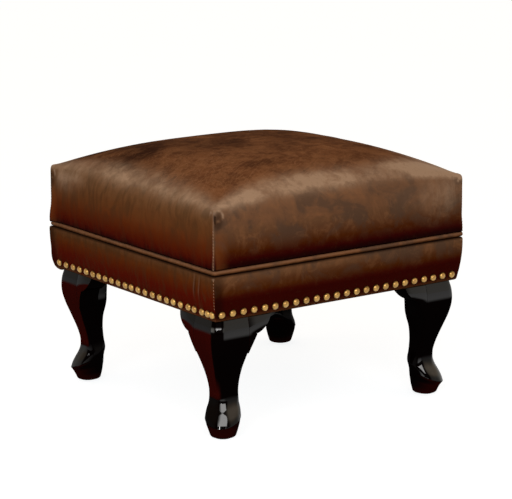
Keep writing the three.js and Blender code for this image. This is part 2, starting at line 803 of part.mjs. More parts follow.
// The cushion as a closed body, offset inwards, standing on a flat bottom
function cushionGeometry(offset, bottom, { sideSteps, wallSteps, shoulderSteps, topSteps }) {
  const { ring, halfX, halfY } = cushionPlan(offset, sideSteps);
  const heightAt = (x, y) => cushionCorner - offset + cushionRise(x / halfX, y / halfY);
  const shoulderOf = ({ mid }) => {
    const radius = shoulderAtCorner + (shoulderAtMiddle - shoulderAtCorner) * mid;
    return Math.max(radius - offset, fitGap);
  };
  const rows = [];
  for (let step = 0; step <= wallSteps; step++) {
    const share = step / wallSteps;
    rows.push(
      ring.map((p) => {
        const high = heightAt(p.at.x, p.at.y) - shoulderOf(p);
        const bulge = cushionBulge * Math.sin(Math.PI * share) * p.mid;
        const spot = p.at.clone().addScaledVector(p.out, bulge);
        return new THREE.Vector3(spot.x, spot.y, bottom + (high - bottom) * share);
      }),
    );
  }
  for (let step = 1; step <= shoulderSteps; step++) {
    const angle = (Math.PI / 2) * (step / shoulderSteps);
    rows.push(
      ring.map((p) => {
        const radius = shoulderOf(p);
        const inward = 1 - (radius * (1 - Math.cos(angle))) / Math.min(halfX, halfY);
        const spot = p.at.clone().multiplyScalar(inward);
        const drop = radius * (1 - Math.sin(angle));
        return new THREE.Vector3(spot.x, spot.y, heightAt(spot.x, spot.y) - drop);
      }),
    );
  }
  for (let step = 1; step < topSteps; step++) {
    rows.push(
      ring.map((p) => {
        const edge = 1 - shoulderOf(p) / Math.min(halfX, halfY);
        const spot = p.at.clone().multiplyScalar(edge * (1 - step / topSteps));
        return new THREE.Vector3(spot.x, spot.y, heightAt(spot.x, spot.y));
      }),
    );
  }
  return loft(rows);
}

function addSeat() {
  const x = halfWidth - hessianInset;
  const y = halfDepth - hessianInset;
  const hessian = block(
    new THREE.Vector3(-x, -y, hessianBottom),
    new THREE.Vector3(x, y, hessianBottom + hessianThickness),
  );
  add(stool, "hessian", hessian, jute);

  const foamOffset = leatherThickness + waddingThickness + 2 * fitGap;
  add(stool, "foam_block", cushionGeometry(foamOffset, foamBottom, foamSteps), foam);

  const fill = cushionGeometry(leatherThickness + fitGap, waddingBottom, cushionSteps);
  const overFoam = cushionGeometry(foamOffset - fitGap, waddingBottom - cutOverrun, foamSteps);
  add(stool, "seat_wadding", cut(fill, overFoam), wadding);

  const outside = cushionGeometry(0, coverBottom, cushionSteps);
  const inside = cushionGeometry(leatherThickness, coverBottom - cutOverrun, cushionSteps);
  add(stool, "seat_cover", cut(outside, inside), leather);
}

addLegs();
addCornerBlocksAndBolts();
addRails();
addWebbing();
addBorder();
addDustCover();
addWelt();
addSeat();

export default stool;
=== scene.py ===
"""An upholstered footstool, dressed: a domed leather cushion over a nail-studded border, on
four glossy cabriole legs, with the frame, straps and cloths that lie hidden under it.

Lengths are in metres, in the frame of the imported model: Z is up and the front faces -Y.
"""

from __future__ import annotations

import json
import logging
import math
import random
from collections.abc import Callable, Iterable, Iterator, Mapping
from contextlib import contextmanager
from dataclasses import dataclass, field
from enum import Enum

import bmesh
import bpy
import numpy as np
from mathutils import Matrix, Quaternion, Vector

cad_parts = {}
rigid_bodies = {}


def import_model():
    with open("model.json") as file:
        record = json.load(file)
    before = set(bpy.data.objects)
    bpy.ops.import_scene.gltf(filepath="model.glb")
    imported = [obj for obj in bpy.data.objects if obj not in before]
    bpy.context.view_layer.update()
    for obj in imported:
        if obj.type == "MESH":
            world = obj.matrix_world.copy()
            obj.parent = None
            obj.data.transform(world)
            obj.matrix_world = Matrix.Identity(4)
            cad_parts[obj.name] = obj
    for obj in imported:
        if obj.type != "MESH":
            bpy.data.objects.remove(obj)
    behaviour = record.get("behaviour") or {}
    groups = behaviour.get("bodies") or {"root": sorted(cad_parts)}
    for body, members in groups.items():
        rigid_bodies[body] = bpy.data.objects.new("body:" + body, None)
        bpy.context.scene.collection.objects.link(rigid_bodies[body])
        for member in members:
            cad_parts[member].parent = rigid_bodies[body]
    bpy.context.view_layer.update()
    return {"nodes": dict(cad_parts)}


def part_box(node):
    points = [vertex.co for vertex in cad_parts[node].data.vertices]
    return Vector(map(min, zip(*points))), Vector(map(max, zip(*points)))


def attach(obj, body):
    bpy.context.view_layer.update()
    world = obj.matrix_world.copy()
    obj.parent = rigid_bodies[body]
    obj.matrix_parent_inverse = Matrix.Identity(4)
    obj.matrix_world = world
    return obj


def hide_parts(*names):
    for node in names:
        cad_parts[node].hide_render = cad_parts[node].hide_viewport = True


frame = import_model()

log = logging.getLogger("footstool")

MM = 0.001

# Added to places along a side, in metres, so that waves are read at positive places.
RUN_START = 5.0

Array = np.ndarray
Piece = bpy.types.Object
Material = bpy.types.Material
Socket = bpy.types.NodeSocket
Colour = tuple[float, float, float]
Place = tuple[float, float, float]
Pair = tuple[float, float]
Ramp = tuple[tuple[float, Colour], ...]


# Named options


class Named(Enum):
    """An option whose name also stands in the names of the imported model."""

    @property
    def label(self) -> str:
        """Its words there."""
        return self.name.lower()


class Side(Named):
    """A side of the seat: the way along it and the way out of it."""

    FRONT = ((1, 0, 0), (0, -1, 0))
    RIGHT = ((0, 1, 0), (1, 0, 0))
    BACK = ((-1, 0, 0), (0, 1, 0))
    LEFT = ((0, -1, 0), (-1, 0, 0))

    @property
    def along(self) -> Vector:
        """The unit vector that runs along the side."""
        return Vector(self.value[0])

    @property
    def out(self) -> Vector:
        """The unit vector that points out of the side."""
        return Vector(self.value[1])


class Corner(Named):
    """A corner of the seat, by the signs of its X and Y."""

    FRONT_LEFT = (-1, -1)
    FRONT_RIGHT = (1, -1)
    BACK_LEFT = (-1, 1)
    BACK_RIGHT = (1, 1)

    @property
    def signs(self) -> tuple[int, int]:
        """The signs of X and Y."""
        return self.value


class Primitive(Enum):
    """A starting shape, by the name of its operator."""

    CUBE = "primitive_cube_add"
    CIRCLE = "primitive_circle_add"
    CYLINDER = "primitive_cylinder_add"
    GRID = "primitive_grid_add"
    TORUS = "primitive_torus_add"
    BALL = "primitive_uv_sphere_add"


# Sums and nodes of the materials


class Value:
    """A number socket that can stand in a sum; each sum adds its Math node."""

    def __init__(self, paint: Nodes, socket: Socket) -> None:
        """Wraps a socket.

        Args:
            paint: The builder of the nodes.
            socket: The output socket that holds the number.
        """
        self.paint = paint
        self.socket = socket

    def maths(self, operation: str, *others: Value | float, clamp: bool = False) -> Value:
        """Adds a Math node with this value as its first input.

        Args:
            operation: The Math node's operation.
            others: The further inputs.
            clamp: Whether the result is kept from 0 to 1.

        Returns:
            The result.
        """
        inputs = dict(enumerate((self, *others)))
        made = self.paint.node("ShaderNodeMath", {"operation": operation, "use_clamp": clamp}, inputs)
        return Value(self.paint, made.outputs[0])

    def flipped(self, operation: str, first: float) -> Value:
        """Adds a Math node with this value as its second input."""
        made = self.paint.node("ShaderNodeMath", {"operation": operation}, {0: first, 1: self})
        return Value(self.paint, made.outputs[0])

    def __add__(self, other: Value | float) -> Value:
        """The sum."""
        return self.maths("ADD", other)

    __radd__ = __add__

    def __sub__(self, other: Value | float) -> Value:
        """The difference."""
        return self.maths("SUBTRACT", other)

    def __rsub__(self, other: float) -> Value:
        """The difference, with this value taken away."""
        return self.flipped("SUBTRACT", other)

    def __mul__(self, other: Value | float) -> Value:
        """The product."""
        return self.maths("MULTIPLY", other)

    __rmul__ = __mul__

    def span(self, low: float, high: float, start: float = 0.0, end: float = 1.0) -> Value:
        """Maps low to start and high to end, smoothly, and holds it beyond them.

        Args:
            low: The value that gives start.
            high: The value that gives end.
            start: The result at low.
            end: The result at high.

        Returns:
            The mapped value.
        """
        made = self.paint.node(
            "ShaderNodeMapRange",
            {"interpolation_type": "SMOOTHSTEP"},
            {"Value": self, "From Min": low, "From Max": high, "To Min": start, "To Max": end},
        )
        return Value(self.paint, made.outputs["Result"])


class Nodes:
    """Builds the nodes of a material or a world."""

    def __init__(self, owner: Material | bpy.types.World, coordinate: str) -> None:
        """Empties the owner's node tree.

        Args:
            owner: What the nodes are for.
            coordinate: Which coordinate its patterns are laid on.
        """
        owner.use_nodes = True
        self.tree = owner.node_tree
        self.tree.nodes.clear()
        self.place = self.node("ShaderNodeTexCoord").outputs[coordinate]
        self.split = self.node("ShaderNodeSeparateXYZ", sockets={0: self.place})

    def node(
        self,
        kind: str,
        settings: Mapping[str, object] | None = None,
        sockets: Mapping[int | str, object] | None = None,
    ) -> bpy.types.Node:
        """Adds a node.

        Args:
            kind: The node's type.
            settings: The node's own settings; "stops" holds a ramp's places and colours.
            sockets: What each input socket is set to or linked with.

        Returns:
            The node.
        """
        made = self.tree.nodes.new(kind)
        for key, setting in (settings or {}).items():
            if key == "stops":
                self._set_stops(made.color_ramp, setting)
            else:
                setattr(made, key, setting)
        for key, given in (sockets or {}).items():
            source = given.socket if isinstance(given, Value) else given
            if isinstance(source, Socket):
                self.tree.links.new(source, made.inputs[key])
            else:
                made.inputs[key].default_value = source
        return made

    @staticmethod
    def _set_stops(ramp: bpy.types.ColorRamp, stops: Iterable[tuple[float, Colour]]) -> None:
        """Sets a ramp's stops."""
        stops = list(stops)
        while len(ramp.elements) < len(stops):
            ramp.elements.new(1.0)
        for element, (place, colour) in zip(ramp.elements, stops):
            element.position = place
            element.color = (*colour, 1.0)

    def axis(self, name: str) -> Value:
        """One coordinate of the place."""
        return Value(self, self.split.outputs[name])

    def mix(self, factor: Value | float, first: object, second: object) -> Socket:
        """Blends two colours, each one a colour or a socket."""
        full = [(*c, 1.0) if isinstance(c, tuple) else c for c in (first, second)]
        made = self.node(
            "ShaderNodeMix", {"data_type": "RGBA"}, {0: factor, 6: full[0], 7: full[1]}
        )
        return made.outputs[2]


class Paint(Nodes):
    """Builds one node material."""

    def __init__(self, name: str) -> None:
        """Starts an empty material.

        Args:
            name: The material's name.
        """
        self.material = bpy.data.materials.new(name)
        super().__init__(self.material, "Object")

    def facing(self) -> tuple[Value, Value, Value]:
        """The way the surface faces: its X, Y and Z."""
        normal = self.node("ShaderNodeNewGeometry").outputs["Normal"]
        split = self.node("ShaderNodeSeparateXYZ", sockets={0: normal})
        return tuple(Value(self, split.outputs[axis]) for axis in "XYZ")

    def turned(self, scale: Colour, turn: Colour = (0, 0, 0)) -> Socket:
        """The place on the piece, turned and then stretched."""
        made = self.node(
            "ShaderNodeMapping",
            {"vector_type": "POINT"},
            {"Vector": self.place, "Rotation": turn},
        )
        stretched = self.node(
            "ShaderNodeVectorMath", {"operation": "MULTIPLY"}, {0: made.outputs[0], 1: scale}
        )
        return stretched.outputs[0]

    def noise(
        self,
        scale: float,
        detail: float = 3,
        rough: float = 0.55,
        bend: float = 0.0,
        place: Socket | None = None,
    ) -> Value:
        """Soft noise from 0 to 1.

        Args:
            scale: Features to a metre.
            detail: How many finer layers it has.
            rough: How strong those layers are.
            bend: How far it is drawn out of shape.
            place: Where it is read, if not at the place on the piece.

        Returns:
            The noise.
        """
        made = self.node(
            "ShaderNodeTexNoise",
            {"noise_dimensions": "3D"},
            {
                "Vector": place or self.place,
                "Scale": scale,
                "Detail": detail,
                "Roughness": rough,
                "Distortion": bend,
            },
        )
        return Value(self, made.outputs[0])

    def ramp(self, place: Value, stops: Ramp) -> Socket:
        """The colour at a place from 0 to 1 on a ramp."""
        return self.node("ShaderNodeValToRGB", {"stops": stops}, {0: place}).outputs[0]

    def attribute(self, name: str) -> Value:
        """An attribute of the piece, which is 0 on a piece that has none."""
        return Value(self, self.node("ShaderNodeAttribute", {"attribute_name": name}).outputs["Fac"])

    def cells(self, scale: float) -> Value:
        """Distance to the nearest of scattered points."""
        made = self.node(
            "ShaderNodeTexVoronoi", {"feature": "F1"}, {"Vector": self.place, "Scale": scale}
        )
        return Value(self, made.outputs["Distance"])

    def ridges(self, noise: Value, width: float) -> Value:
        """Thin lines, 1 at their middle, where a noise passes its half."""
        return (noise - 0.5).maths("ABSOLUTE").span(0.0, width, 1.0, 0.0)

    def bump(
        self, height: Value, depth: float, strength: float = 1.0, under: object = None
    ) -> Socket:
        """A normal that makes a height look raised by a depth."""
        sockets = {"Strength": strength, "Distance": depth, "Height": height}
        if under is not None:
            sockets["Normal"] = under
        return self.node("ShaderNodeBump", sockets=sockets).outputs[0]

    def finish(self, **sockets: object) -> Material:
        """Closes the material with its shader.

        Args:
            sockets: Values or links of the shader's sockets, with _ for each space.

        Returns:
            The material.
        """
        named = {
            key.replace("_", " "): (*v, 1.0) if isinstance(v, tuple) else v
            for key, v in sockets.items()
        }
        shader = self.node("ShaderNodeBsdfPrincipled", sockets=named)
        self.node("ShaderNodeOutputMaterial", sockets={"Surface": shader.outputs[0]})
        return self.material


# Finishes


@dataclass(frozen=True)
class AgedLeather:
    """Brown leather, mottled on top, darker and redder towards its lower seam in painted shade, with
    painted light that makes the top lighter towards the front.

    The attributes rub, ruddy, dark and across tell how pale the colour is painted along the edges, as
    wear and painted sheen; where painted light falls on the bulge beside a seam; how deep a point lies
    in the painted shade of a seam, a slit or the welt's edge; and how far in from the edge it is, in
    metres.
    """

    name: str
    low: float
    high: float
    sides: Ramp
    fronts: Ramp
    # Painted light on the top: its back is painted darker and its front lighter.
    top_dark: Colour = (0.029, 0.0092, 0.0037)
    top_light: Colour = (0.132, 0.050, 0.0200)
    top_deep: Colour = (0.032, 0.0115, 0.0060)
    top_warm: Colour = (0.205, 0.088, 0.0370)
    top_bright: Colour = (0.270, 0.135, 0.0650)
    # The pale band along the edges: wear and painted sheen.
    rubbed: Colour = (0.300, 0.190, 0.120)
    olive: Colour = (0.046, 0.026, 0.011)
    cloudy: Colour = (0.062, 0.038, 0.026)
    # Painted shade in the seams, in the slits beside them and along the welt.
    pit: Colour = (0.005, 0.0012, 0.0006)
    # Painted light on the bulge beside each corner seam.
    ruddy: Colour = (0.175, 0.050, 0.0130)
    gathers: float = 0.45
    cloud_low: float = 0.10
    cloud_high: float = 0.55
    streak: float = 0.16
    swept_degrees: float = -30.0
    edge_reach: Pair = (4 * MM, 40 * MM)
    crease_depth: float = 0.9 * MM
    grain_depth: float = 0.22 * MM

    def walls(self, p: Paint, mottle: Value) -> Socket:
        """The colour of the upright faces, by their height, with painted light: painted shade darkens
        them towards the foot, painted sheen lightens them towards the top, and the sides and the fronts
        each have a ramp for the light that falls on them.

        Args:
            p: The builder of the nodes.
            mottle: Fine noise that breaks up the change of colour.

        Returns:
            The colour.
        """
        x, _, _ = p.facing()
        beside = (x * x).span(0.3, 0.6)
        drawn = p.noise(1, 4, 0.5, 1.6, p.turned((30, 30, 12)))
        fine = p.noise(1, 3, 0.6, 0.8, p.turned((90, 90, 20)))
        clouds = p.noise(15, 5, 0.6, 0.8)
        # Painted light and shade by height: each ramp darkens towards the foot, where less light
        # reaches, and lightens towards the top.
        share = (p.axis("Z") - self.low) * (1 / (self.high - self.low))
        share = share + (mottle - 0.5) * 0.10 + (drawn - 0.5) * 0.20 * beside
        upper = share.span(self.cloud_low, self.cloud_high)
        folds = drawn.span(0.34, 0.58, 1.0, 0.0) * self.gathers * upper
        side = p.mix(folds, p.ramp(share, self.sides), self.olive)
        side = p.mix(fine.span(0.34, 0.54, self.streak, 0.0), side, self.olive)
        patches = clouds.span(0.46, 0.58) * 0.62 * upper
        front = p.mix(patches, p.ramp(share, self.fronts), self.cloudy)
        front = p.mix(clouds.span(0.34, 0.47, 0.34, 0.0) * upper, front, self.top_warm)
        front = p.mix(mottle.span(0.50, 0.68) * 0.34 * upper, front, self.top_warm)
        return p.mix(beside, front, side)

    def top(self, p: Paint, mottle: Value) -> Socket:
        """The colour of the top: clouds, fine veins and swept strands, over painted light that makes it
        lighter and warmer towards the front and darker towards the back.

        Args:
            p: The builder of the nodes.
            mottle: Fine noise.

        Returns:
            The colour.
        """
        clouds = p.noise(9, 5, 0.62, 0.5)
        blot = p.noise(20, 4, 0.6, 0.5)
        swept_way = (0, 0, math.radians(self.swept_degrees))
        strands = p.noise(1, 3, 0.6, 0.9, p.turned((10, 80, 50), swept_way))
        thread = p.ridges(strands, 0.030)
        vein = p.ridges(p.noise(26, 5, 0.62, 1.0), 0.030)
        crack = p.ridges(p.noise(58, 4, 0.6, 1.4), 0.016) * clouds.span(0.42, 0.60)
        # Painted light: the top is lighter and warmer towards the front and darker towards the back, as
        # the light falls.
        forward = p.axis("Y") * -1.1 + p.axis("X") * 0.1 + (clouds - 0.5) * 1.6
        swept = (p.axis("Y") * -2.2 - p.axis("X") * 1.6).span(0.10, 0.55)
        ahead = forward.span(-0.40, 0.35)
        warmth = ahead * 0.6 + 0.4
        colour = p.mix(ahead, self.top_dark, self.top_light)
        colour = p.mix(blot.span(0.46, 0.66) * warmth * 0.40, colour, self.top_warm)
        colour = p.mix(blot.span(0.33, 0.52, 0.38, 0.0), colour, self.top_deep)
        colour = p.mix(mottle.span(0.46, 0.66) * warmth * 0.40, colour, self.top_warm)
        colour = p.mix(mottle.span(0.30, 0.47, 0.32, 0.0), colour, self.top_deep)
        colour = p.mix(strands.span(0.30, 0.50, 0.26, 0.0) * swept, colour, self.top_deep)
        colour = p.mix(thread * (swept * 0.42 + 0.06), colour, self.top_warm)
        colour = p.mix(vein * warmth * 0.34, colour, self.top_warm)
        return p.mix(crack * (0.5 * warmth), colour, self.top_bright)

    def make(self) -> Material:
        """Builds the material.

        Returns:
            The material.
        """
        p = Paint(self.name)
        mottle = p.noise(42, 6, 0.68, 0.6)
        broad = p.noise(11, 3, 0.5, 0.4)
        speck = p.noise(190, 4, 0.6)
        rub = p.attribute("rub")
        inside = p.attribute("across").span(*self.edge_reach)
        colour = p.mix(inside, self.walls(p, mottle), self.top(p, mottle))
        brushed = p.noise(1, 3, 0.6, 0.8, p.turned((90, 90, 20)))
        # The pale band, broken up by noise: wear and painted sheen; it also lays the coat.
        wear = rub * broad.span(0.32, 0.60, 0.50, 1.28) * mottle.span(0.32, 0.66, 0.58, 1.20)
        wear = wear * brushed.span(0.34, 0.60, 0.78, 1.08)
        colour = p.mix(wear.maths("ADD", 0.0, clamp=True), colour, self.rubbed)
        colour = p.mix(speck.span(0.54, 0.72) * 0.16, colour, self.olive)
        # Painted light on the bulge beside each corner seam.
        colour = p.mix(p.attribute("ruddy"), colour, self.ruddy)
        # Painted shade in the seams, in the slits beside them and along the welt.
        colour = p.mix(p.attribute("dark"), colour, self.pit)

        grain = p.cells(620) * 0.6 + p.noise(1500, 2) * 0.4
        creases = p.noise(55, 5, 0.65, 1.6)
        bump = p.bump(creases, self.crease_depth, 0.30)
        bump = p.bump(grain, self.grain_depth, 0.35, bump)
        return p.finish(
            Base_Color=colour,
            Roughness=0.40 + 0.2 * mottle,
            Normal=bump,
            Specular_IOR_Level=0.0,
            Coat_Weight=(rub * 0.30).maths("ADD", 0.02, clamp=True),
            Coat_Roughness=0.36,
        )


@dataclass(frozen=True)
class PolishedMahogany:
    """Nearly black mahogany stain with a reddish glow painted on its side faces and under its foot,
    where side light falls; the gloss lacquer's reflections are painted on, as its coat lies almost only
    on the upward faces of knees and feet and on a glint at the knee's ridge.

    The bands of height say over which heights a part of the leg's finish starts or ends.
    """

    name: str = "polished_mahogany"
    dark: Colour = (0.0012, 0.0003, 0.0003)
    # The reddish colour of the glow painted where side light falls.
    red: Colour = (0.036, 0.0022, 0.0010)
    corner: float = 225 * MM
    foot_band: Pair = (60 * MM, 75 * MM)
    coat_band: Pair = (100 * MM, 140 * MM)
    glint_foot: Pair = (189 * MM, 192 * MM)
    glint_head: Pair = (195 * MM, 199 * MM)
    front_band: Pair = (-50 * MM, 50 * MM)
    bare_coat: float = 0.004

    def make(self) -> Material:
        """Builds the material.

        Returns:
            The material.
        """
        p = Paint(self.name)
        x, y, up = p.facing()
        grain = p.noise(1, 6, 0.6, 0.7, p.turned((170, 170, 9)))
        figure = p.noise(1, 3, 0.5, 1.2, p.turned((18, 18, 5)))
        height = p.axis("Z")
        outward = p.axis("X") * p.axis("Y") * (1 / self.corner**2)
        arris = (x * y * outward).span(0.03, 0.20) * outward.span(1.02, 1.10)
        facing = y * y
        lifted = (up - 0.08 * x * x + 0.015 * facing).span(-0.01, 0.06)
        foot = height.span(*self.foot_band, 1.0, 0.0)
        flat = (1 - arris) * (1 - foot)
        front = p.axis("Y").span(*self.front_band, 1.0, 0.0)

        # Painted light: a reddish glow on the side faces below the knee and under the foot, where side
        # light falls.
        side = (x * p.axis("X") * (1 / self.corner)).span(0.66, 0.97)
        glow = flat * side * (1 - lifted) + 0.75 * foot * up.span(-0.15, -0.45)
        glow = glow * (0.55 + 0.35 * figure + 0.10 * grain)

        # Painted reflections: the coat lies where highlights should show, a window-shaped one on the
        # front toes, grey ones on the knees and feet, and a glint on the knee's ridge.
        window = facing.span(0.28, 0.45) * (0.13 + 0.42 * facing.span(0.72, 0.95, 1.0, 0.0)) * front
        knees = (0.14 + 0.20 * facing) * flat * height.span(*self.coat_band)
        feet = foot * (window + 0.22 * (1 - front) * (1 - facing) + 0.03)
        ring = height.span(*self.glint_foot) * height.span(*self.glint_head, 1.0, 0.0)
        glint = 0.9 * arris * ring * outward.span(1.14, 1.20)
        coat = lifted * (knees + feet + glint) + self.bare_coat
        return p.finish(
            Base_Color=p.mix(glow, self.dark, self.red),
            Roughness=0.3 + 0.1 * grain,
            Normal=p.bump(p.noise(140, 2), 0.4 * MM, 0.05),
            Specular_IOR_Level=0.0,
            Coat_Weight=coat.maths("ADD", 0.0, clamp=True),
            Coat_Roughness=0.04,
            Coat_IOR=1.8,
        )


@dataclass(frozen=True)
class RawWood:
    """Planed hardwood of the hidden frame."""

    name: str = "raw_wood"
    light: Colour = (0.50, 0.31, 0.14)
    dark: Colour = (0.27, 0.14, 0.055)

    def make(self) -> Material:
        """Builds the material.

        Returns:
            The material.
        """
        p = Paint(self.name)
        warp = p.noise(6, 3, 0.5, 0.8)
        rings = p.node(
            "ShaderNodeTexWave",
            {"wave_type": "BANDS", "bands_direction": "Z"},
            {"Vector": p.place, "Scale": 55, "Distortion": 7.0, "Detail": 3.0, "Detail Scale": 1.2},
        )
        ring = Value(p, rings.outputs["Fac"])
        pores = p.noise(1, 4, 0.6, 0.2, p.turned((420, 420, 900)))
        colour = p.mix(ring * 0.6 + warp * 0.4, self.light, self.dark)
        colour = p.mix(pores.span(0.6, 0.75) * 0.5, colour, self.dark)
        return p.finish(
            Base_Color=colour,
            Roughness=0.62 + 0.2 * pores,
            Normal=p.bump(pores, 0.0004, 0.4),
        )


@dataclass(frozen=True)
class AgedBrass:
    """Brass nail heads: bright on the dome and blotched with tarnish, with painted shade that darkens
    them towards the rim.
    """

    name: str = "aged_brass"
    bright: Colour = (0.54, 0.33, 0.100)
    aged: Colour = (0.27, 0.145, 0.040)
    # Painted shade towards the rim of each dome.
    rim: Colour = (0.060, 0.026, 0.008)

    def make(self) -> Material:
        """Builds the material.

        Returns:
            The material.
        """
        p = Paint(self.name)
        dome = p.attribute("polish")
        blotch = p.noise(95, 3, 0.6)
        wear = p.noise(420, 3, 0.6)
        colour = p.mix(blotch.span(0.3, 0.7) * 0.8, self.bright, self.aged)
        colour = p.mix(wear.span(0.55, 0.75) * 0.5, colour, self.aged)
        # Painted shade: darker towards the rim of the dome.
        colour = p.mix(dome.span(0.05, 0.5, 0.95, 0.0), colour, self.rim)
        return p.finish(
            Base_Color=colour,
            Metallic=0.85,
            Roughness=0.30 + 0.14 * wear,
            Normal=p.bump(p.noise(300, 3), 0.0004, 0.2),
        )


@dataclass(frozen=True)
class PlainMetal:
    """Zinc-plated steel of the bolts."""

    name: str = "plated_steel"
    colour: Colour = (0.42, 0.43, 0.44)
    dull: Colour = (0.22, 0.21, 0.19)

    def make(self) -> Material:
        """Builds the material.

        Returns:
            The material.
        """
        p = Paint(self.name)
        stain = p.noise(160, 4, 0.6)
        brushed = p.noise(1, 3, 0.6, 0.0, p.turned((300, 300, 2400)))
        return p.finish(
            Base_Color=p.mix(stain.span(0.4, 0.7), self.colour, self.dull),
            Metallic=1.0,
            Roughness=0.28 + 0.2 * stain,
            Normal=p.bump(brushed, 0.0002, 0.3),
        )


@dataclass(frozen=True)
class MouldedNylon:
    """Dark nylon of the glides."""

    name: str = "moulded_nylon"
    colour: Colour = (0.014, 0.012, 0.010)
    scuffed: Colour = (0.06, 0.055, 0.05)

    def make(self) -> Material:
        """Builds the material.

        Returns:
            The material.
        """
        p = Paint(self.name)
        scuff = p.noise(240, 4, 0.65)
        return p.finish(
            Base_Color=p.mix(scuff.span(0.5, 0.75), self.colour, self.scuffed),
            Roughness=0.45 + 0.25 * scuff,
            Normal=p.bump(scuff, 0.0002, 0.3),
        )


@dataclass(frozen=True)
class WovenCloth:
    """A plain weave: jute straps, hessian or the cloth under the frame."""

    name: str
    thread: Colour
    gap: Colour
    threads_to_metre: float
    depth: float

    def make(self) -> Material:
        """Builds the material.

        Returns:
            The material.
        """
        p = Paint(self.name)
        turn = 2 * math.pi * self.threads_to_metre / 2
        warp = (p.axis("X") * turn).maths("SINE")
        weft = (p.axis("Y") * turn).maths("SINE")
        over = (warp * weft) * 0.5 + 0.5
        fibres = p.noise(900, 3, 0.6)
        worn = p.noise(18, 3, 0.6)
        colour = p.mix(over.span(0.1, 0.7), self.gap, self.thread)
        colour = p.mix(fibres.span(0.45, 0.8) * 0.5 + worn * 0.2, colour, self.gap)
        return p.finish(
            Base_Color=colour,
            Roughness=0.86 + 0.1 * fibres,
            Normal=p.bump(over + 0.3 * fibres, self.depth, 0.8),
            Specular_IOR_Level=0.2,
        )


@dataclass(frozen=True)
class SeamThread:
    """Waxed tan thread of the corner seams."""

    name: str = "seam_thread"
    colour: Colour = (0.25, 0.125, 0.063)
    dirty: Colour = (0.085, 0.032, 0.013)

    def make(self) -> Material:
        """Builds the material.

        Returns:
            The material.
        """
        p = Paint(self.name)
        wear = p.noise(130, 3, 0.6)
        return p.finish(
            Base_Color=p.mix(wear.span(0.35, 0.7), self.colour, self.dirty),
            Roughness=0.5 + 0.2 * wear,
            Normal=p.bump(p.noise(1800, 2), 0.0002, 0.5),
        )


# The bench


